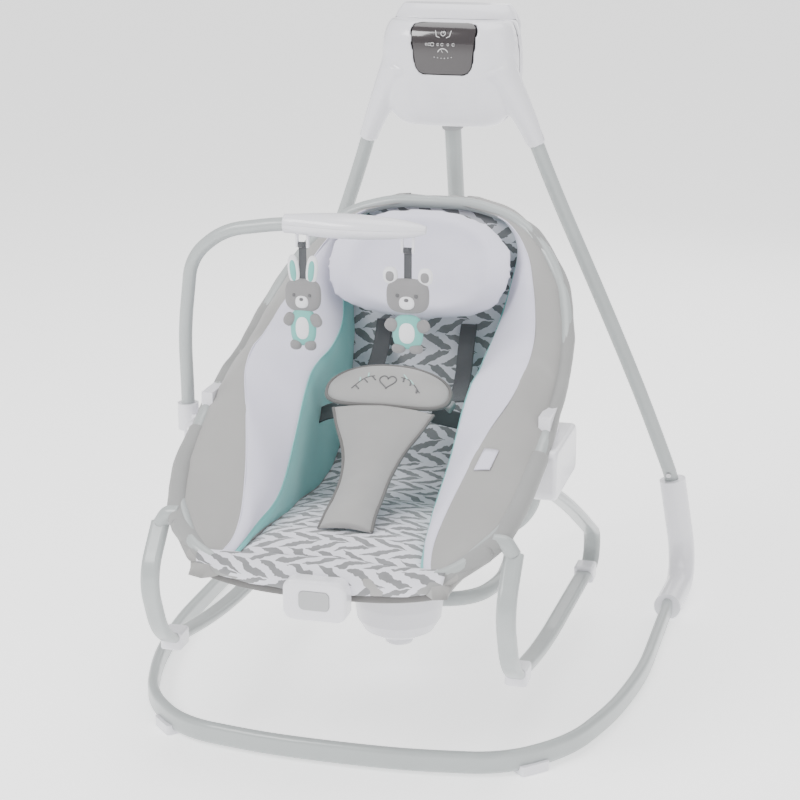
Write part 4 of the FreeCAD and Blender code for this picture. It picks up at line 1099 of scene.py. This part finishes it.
    def strap(self, name: str, path: Sequence[Point], width: float, thick: float,
              across: Vector) -> bpy.types.Object:
        """Flat webbing along a path, with two raised edges.

        Args:
            name: piece name.
            path: centre line.
            width: full width.
            thick: thickness.
            across: direction of its width.

        Returns:
            The strap.
        """
        line = spline(np.array(path), 30)
        points = []
        for i, point in enumerate(line):
            tangent = Vector(line[min(i + 1, len(line) - 1)] - line[max(i - 1, 0)]).normalized()
            side = (across - tangent * across.dot(tangent)).normalized()
            up = side.cross(tangent)
            for u, v in ((-1, 0.6), (-0.86, 1), (-0.8, 0.7), (0.8, 0.7), (0.86, 1), (1, 0.6),
                         (1, -0.6), (0.8, -0.8), (-0.8, -0.8), (-1, -0.6)):
                points.append(tuple(Vector(point) + side * (u * width / 2) + up * (v * thick / 2)))
        faces: list = grid_faces(len(line), 10, True)
        faces += [tuple(range(10)), tuple(range((len(line) - 1) * 10, len(line) * 10))]
        return make_object(name, points, faces, [WEBBING.build()])

    def straps(self) -> list[bpy.types.Object]:
        """Shoulder straps and waist straps of both sides."""
        made = []
        for side, word in ((1.0, "right"), (-1.0, "left")):
            low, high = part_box("shoulder_straps")
            x = side * (high.x - 12.5 * MM)
            top_y, top_z = high.y, high.z
            path = [(x, top_y + 4 * MM, top_z + 2 * MM), (x, top_y - 16 * MM, top_z - 30 * MM),
                    (x * 1.05, top_y - 46 * MM, top_z - 62 * MM),
                    (x * 1.12, top_y - 92 * MM, top_z - 78 * MM),
                    (x * 1.18, top_y - 130 * MM, top_z - 80 * MM)]
            made.append(self.strap(word + "_shoulder_web", path, self.strap_wide, self.strap_thick,
                                   Vector((1, 0, 0.1 * side))))
            waist = [(side * 0.060, -0.055 + DATUM_Y, 0.412), (side * 0.078, -0.045 + DATUM_Y, 0.405),
                     (side * 0.096, -0.034 + DATUM_Y, 0.398), (side * 0.117, -0.022 + DATUM_Y, 0.386)]
            made.append(self.strap(word + "_waist_web", waist, self.strap_wide, self.strap_thick,
                                   Vector((0, 0.6, 0.8))))
        return made


# ---------------------------------------------------------------- toys
class Critter(Enum):
    """Which plush toy hangs from the tray."""

    BUNNY = "bunny"
    BEAR = "bear"


@dataclass
class Toy:
    """Flat stuffed toy on a webbing strap, sized from its CAD solid."""

    kind: Critter
    thick: float = 13 * MM
    wide: float = 10.8 * MM
    loop: float = 4.4 * MM
    hole: float = 2.7 * MM

    def blob(self, cx: float, cz: float, half_x: float, half_z: float, depth: float, finish: Finish,
             turn: float = 0.0, power: float = 2.4, push: float = 0.0) -> bpy.types.Object:
        """One stuffed oval, facing -Y.

        Args:
            cx: centre along X.
            cz: centre along Z.
            half_x: half width.
            half_z: half height.
            depth: half thickness.
            finish: its cloth.
            turn: lean in radians.
            power: squareness of the outline.
            push: how far its middle stands forward.

        Returns:
            The oval.
        """
        points = []
        rings, spokes = 12, 40
        for face in (1.0, -1.0):
            for i in range(rings + 1):
                rho = math.sin(0.5 * math.pi * i / rings)
                lift = depth * math.sqrt(max(0.0, 1 - rho ** 2.6))
                for k in range(spokes):
                    t = 2 * math.pi * k / spokes
                    c, s = math.cos(t), math.sin(t)
                    x = half_x * rho * math.copysign(abs(c) ** (2 / power), c)
                    z = half_z * rho * math.copysign(abs(s) ** (2 / power), s)
                    points.append((cx + x * math.cos(turn) - z * math.sin(turn), self.y - push - face * lift,
                                   cz + x * math.sin(turn) + z * math.cos(turn)))
        piece = make_object("blob", points, two_discs(rings, spokes), [finish.build()])
        weld(piece)
        return piece

    def build(self) -> list[bpy.types.Object]:
        """Make the plush body, its face and its strap."""
        low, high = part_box(self.kind.value + "_toy")
        bunny = self.kind is Critter.BUNNY
        x = (low.x + high.x) / 2
        self.y = (low.y + high.y) / 2
        half = (high.x - low.x) / 2
        bottom, top = low.z, low.z + (0.134 if bunny else 0.122)
        height = top - bottom
        head_z = bottom + height * (0.58 if bunny else 0.66)
        head_h = height * (0.175 if bunny else 0.20)
        d = self.thick / 2
        parts = [self.blob(x, bottom + height * 0.245, half * 0.60, height * 0.20, d, TOY_AQUA, power=2.8),
                 self.blob(x, head_z, half * 0.84, head_h, d * 1.1, TOY_GREY, power=3.0)]
        for side in (-1, 1):
            if bunny:
                ear, inner = (0.42, 0.155, 0.27, 0.155), (0.42, 0.16, 0.15, 0.11)
                turn, lining = -side * 0.10, TOY_AQUA
            else:
                ear, inner = (0.68, 0.115, 0.29, 0.10), (0.68, 0.12, 0.17, 0.06)
                turn, lining = 0.0, TOY_GREY
            layers = ((ear, 0.7, TOY_WHITE, 0.0), (inner, 0.4, lining, 0.5))
            for (out, down, wide, tall), deep, cloth, push in layers:
                parts.append(self.blob(x + side * half * out, top - height * down, half * wide, height * tall,
                                       d * deep, cloth, turn, push=d * push))
            parts.append(self.blob(x + side * half * 0.62, bottom + height * 0.325, half * 0.26, height * 0.075,
                                   d * 0.6, TOY_GREY, side * 0.5, push=d * 0.5))
            parts.append(self.blob(x + side * half * 0.34, bottom + height * 0.055, half * 0.27, height * 0.055,
                                   d * 0.8, TOY_GREY, 0.0, push=d * 0.3))
        parts.append(self.blob(x, bottom + height * 0.24, half * 0.32, height * 0.12, d * 0.4, TOY_WHITE,
                               push=d * 0.78))
        parts.append(self.blob(x, head_z - head_h * 0.35, half * 0.30, head_h * 0.38, d * 0.5, TOY_WHITE,
                               push=d * 0.95))
        parts.append(self.blob(x, head_z - head_h * 0.18, half * 0.09, head_h * 0.10, 1.2 * MM, THREAD_DARK,
                               push=d * 1.40))
        for side in (-1, 1):
            parts.append(self.blob(x + side * half * 0.36, head_z + head_h * 0.05, half * 0.075, half * 0.075,
                                   1.4 * MM, THREAD_DARK, push=d * 1.05))
        plush = merge(self.kind.value + "_plush", parts)
        strap_top = high.z
        strap_low = head_z + head_h * 0.8
        axis_z = strap_top - self.loop
        line = [(x, self.y, strap_low), (x, self.y, (strap_low + axis_z) / 2), (x, self.y, axis_z - 3.4 * MM)]
        strap = Restraint().strap(self.kind.value + "_web", line, self.wide, 1.8 * MM, Vector((1, 0, 0)))
        web = merge(self.kind.value + "_web", [strap, self.ring(x, axis_z)])
        return [plush, web]

    def ring(self, x: float, z: float) -> bpy.types.Object:
        """Webbing loop that goes round the hinge pin, in two rims and two walls."""
        steps, points = 28, []
        for k in range(steps):
            turn = 2 * math.pi * k / steps
            for half, radius in ((-1, self.loop), (1, self.loop), (1, self.hole), (-1, self.hole)):
                points.append((x + half * self.wide / 2, self.y + radius * math.cos(turn),
                               z + radius * math.sin(turn)))
        faces: list = grid_faces(steps, 4, True)
        base = (steps - 1) * 4
        faces += [(base + j, base + (j + 1) % 4, (j + 1) % 4, j) for j in range(4)]
        return make_object("loop", points, faces, [WEBBING.build()])


# ---------------------------------------------------------------- display
@dataclass
class Display:
    """Printed signs on the dark panel, laid on its curved face."""

    lift: float = 0.25 * MM

    def __post_init__(self) -> None:
        """Keep a ray tree of the panel and its buttons."""
        self.trees = []
        for name in ("display_panel", "power_button", "melody_button"):
            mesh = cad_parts[name].data
            self.trees.append(BVHTree.FromPolygons([v.co.copy() for v in mesh.vertices],
                                                   [tuple(p.vertices) for p in mesh.polygons]))

    def on_face(self, x: float, z: float) -> Point:
        """Point of the front face at x, z."""
        best = None
        for tree in self.trees:
            hit, _, _, _ = tree.ray_cast(Vector((x, -1.0, z)), Vector((0, 1, 0)))
            if hit is not None and (best is None or hit.y < best):
                best = hit.y
        low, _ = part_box("display_panel")
        return x, (best if best is not None else low.y) - self.lift, z

    def line(self, name: str, flat: Sequence[tuple[float, float]],
             radius: float = 0.45 * MM) -> bpy.types.Object:
        """A printed line through (x, z) points of the face."""
        return swept_cord(name, [self.on_face(x, z) for x, z in flat], radius, PRINT_INK.build(), 6)

    def build(self) -> bpy.types.Object:
        """Make every sign as one piece."""
        p_low, p_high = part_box("power_button")
        m_low, m_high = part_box("melody_button")
        px, pz = (p_low.x + p_high.x) / 2, (p_low.z + p_high.z) / 2
        mx, mz = (m_low.x + m_high.x) / 2, (m_low.z + m_high.z) / 2
        signs = []

        def arc(cx: float, cz: float, r: float, start: float, end: float, count: int = 16) -> list:
            """Points of an arc in degrees."""
            return [(cx + r * math.cos(math.radians(t)), cz + r * math.sin(math.radians(t)))
                    for t in np.linspace(start, end, count)]

        signs.append(self.line("sign0", arc(px, pz, 3.4 * MM, 115, 425)))
        signs.append(self.line("sign1", [(px, pz + 0.4 * MM), (px, pz + 3.2 * MM)]))
        for side in (-1, 1):
            bracket = [(px + side * out * MM, pz + up * MM) for out, up in ((12, 4), (10, -4), (5, -6))]
            signs.append(self.line("sign2", bracket, 0.55 * MM))
        signs.append(self.line("sign3", arc(mx, mz, 2.6 * MM, 0, 345), 0.35 * MM))
        for k, dx in enumerate((-9, -4.5, 8.5, 15, 24, 32)):
            small = (1.5 + 0.5 * (k % 2)) * MM
            signs.append(self.line("sign4", arc(mx + dx * MM, mz, small, 20, 330, 10), 0.35 * MM))
        dial_z = mz - 11 * MM
        signs.append(self.line("sign5", arc(0.0, dial_z - 3 * MM, 8 * MM, 20, 160), 0.6 * MM))
        signs.append(self.line("sign6", [(0.0, dial_z - 1 * MM), (-2.4 * MM, dial_z + 2.6 * MM)], 0.4 * MM))
        for k in range(6):
            x = (k - 2.5) * 5.2 * MM
            z = dial_z - 7.5 * MM - 1.6 * MM * math.cos(x / (9 * MM))
            signs.append(self.line("sign7", [(x - 0.6 * MM, z), (x + 0.6 * MM, z)], 0.55 * MM))
        return merge("display_signs", signs)


# ---------------------------------------------------------------- staging
@dataclass
class Studio:
    """Pale floor, soft lights and the camera."""

    camera_place: Point = (0.7270, -2.7534 + DATUM_Y, 1.2398)
    pitch: float = 73.8
    heading: float = 14.8
    lens: float = 93.26

    def floor(self) -> None:
        """A wide pale floor."""
        bpy.ops.mesh.primitive_plane_add(size=30.0, location=(0, 0, 0))
        plane = bpy.context.object
        plane.name = "studio_floor"
        material = bpy.data.materials.new("studio_floor")
        material.use_nodes = True
        shader = material.node_tree.nodes["Principled BSDF"]
        shader.inputs["Base Color"].default_value = (1.0, 1.0, 1.0, 1.0)
        shader.inputs["Roughness"].default_value = 0.9
        shader.inputs["Specular IOR Level"].default_value = 0.1
        shader.inputs["Emission Color"].default_value = (1.0, 1.0, 1.0, 1.0)
        shader.inputs["Emission Strength"].default_value = 0.95
        plane.data.materials.append(material)

    def light(self, name: str, place: Point, aim: Point, size: float, power: float) -> None:
        """One square area light that looks at a point."""
        data = bpy.data.lights.new(name, "AREA")
        data.size = size
        data.energy = power
        lamp = bpy.data.objects.new(name, data)
        lamp.location = place
        lamp.rotation_euler = (Vector(aim) - Vector(place)).to_track_quat("-Z", "Y").to_euler()
        bpy.context.collection.objects.link(lamp)

    def build(self) -> None:
        """Set the floor, the lights, the world and the camera."""
        self.floor()
        self.light("key", (-1.6, -2.2, 2.6), (0, 0, 0.45), 1.4, 85.0)
        self.light("fill", (2.4, -1.6, 1.6), (0, 0, 0.45), 2.2, 24.0)
        self.light("top", (0.2, 0.4, 3.2), (0, 0, 0.3), 2.2, 55.0)
        self.light("rim", (0.4, 2.6, 1.8), (0, 0, 0.5), 2.0, 20.0)
        world = bpy.data.worlds.new("studio_world")
        bpy.context.scene.world = world
        world.use_nodes = True
        world.node_tree.nodes["Background"].inputs["Color"].default_value = (1, 1, 1, 1)
        world.node_tree.nodes["Background"].inputs["Strength"].default_value = 0.85
        data = bpy.data.cameras.new("camera")
        data.lens = self.lens
        data.sensor_width = 36.0
        data.clip_end = 50.0
        camera = bpy.data.objects.new("camera", data)
        camera.location = self.camera_place
        camera.rotation_euler = (math.radians(self.pitch), 0.0, math.radians(self.heading))
        bpy.context.collection.objects.link(camera)
        bpy.context.scene.camera = camera


def dress_frame() -> None:
    """Give every carried-over CAD node its finish."""
    for name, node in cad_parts.items():
        if name in NODE_FINISHES:
            node.data.materials.clear()
            node.data.materials.append(NODE_FINISHES[name].build())


def rim_stubs() -> bpy.types.Object:
    """Short round joints between the rim and the tops of the rocker tubes."""
    low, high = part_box("rim_clamps")
    middle_y = (low.y + high.y) / 2
    stubs = []
    for side in (1.0, -1.0):
        ends = [(side * (high.x - 36 * MM), middle_y, high.z - 12 * MM),
                (side * (high.x - 20 * MM), middle_y, high.z - 14 * MM),
                (side * (high.x - 9 * MM), middle_y, low.z + 6 * MM)]
        stubs.append(swept_cord("stub", spline(np.array(ends), 14), 10.5 * MM, TUBE_PAINT.build(), 20))
    return merge("rim_stubs", stubs)


def build_head() -> None:
    """Head covers whose shoulders flow into the leg sockets."""
    for node in ("head_front_cover", "head_rear_cover"):
        hold(blended(node + "_skin", node, 2.4 * MM, 14, WHITE_SHELL), "stand", "white_shell", node)


def build_seat() -> None:
    """Wings, liner, headrest, restraint and straps."""
    bowl = Bowl()
    for side, word in ((1.0, "right"), (-1.0, "left")):
        bolster = Bolster(bowl, side)
        wing = hold(bolster.build(), "seat", "grey_fabric", word + "_bolster")
        for seam in bolster.seams():
            hold(seam, "seat", "grey_fabric")
        if side > 0:
            hold(bolster.tag(), "seat", "print_fabric")
    liner = Liner(bowl)
    hold(liner.build(), "seat", "print_fabric", "seat_cushion", "back_cushion")
    hold(liner.hem(), "seat", "webbing")
    for side in (1.0, -1.0):
        hold(liner.sleeve(side), "seat", "grey_fabric")
    hold(Headrest().build(), "seat", "white_plush", "headrest")
    hold(rim_stubs(), "seat", "grey_tube", "rim_clamps")
    restraint = Restraint()
    panel, *tapes = restraint.panel()
    hold(panel, "seat", "light_fabric", "crotch_panel")
    for tape in tapes:
        hold(tape, "seat", "webbing")
    pad, tape, motif = restraint.pad()
    hold(pad, "seat", "light_fabric", "tummy_pad")
    hold(tape, "seat", "webbing")
    hold(merge("tummy_motif", motif), "seat", "webbing")
    for strap in restraint.straps():
        node = "shoulder_straps" if "shoulder" in strap.name else "waist_straps"
        hold(strap, "seat", "webbing", node)


def main() -> None:
    """Build every piece in order."""
    logging.basicConfig(level=logging.INFO, format="%(message)s")
    Studio().build()
    dress_frame()
    build_head()
    build_seat()
    for kind in Critter:
        plush, strap = Toy(kind).build()
        hold(plush, kind.value, "toy_plush", kind.value + "_toy")
        hold(strap, kind.value, "webbing")
    hold(Display().build(), "stand", "white_shell")


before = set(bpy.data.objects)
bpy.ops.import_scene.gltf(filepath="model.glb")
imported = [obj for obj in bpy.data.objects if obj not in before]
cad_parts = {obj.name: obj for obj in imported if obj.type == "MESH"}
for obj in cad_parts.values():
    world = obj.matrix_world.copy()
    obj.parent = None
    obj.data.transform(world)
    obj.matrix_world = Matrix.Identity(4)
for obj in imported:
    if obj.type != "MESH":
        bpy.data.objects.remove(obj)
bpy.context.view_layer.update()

if __name__ == "__main__":
    main()
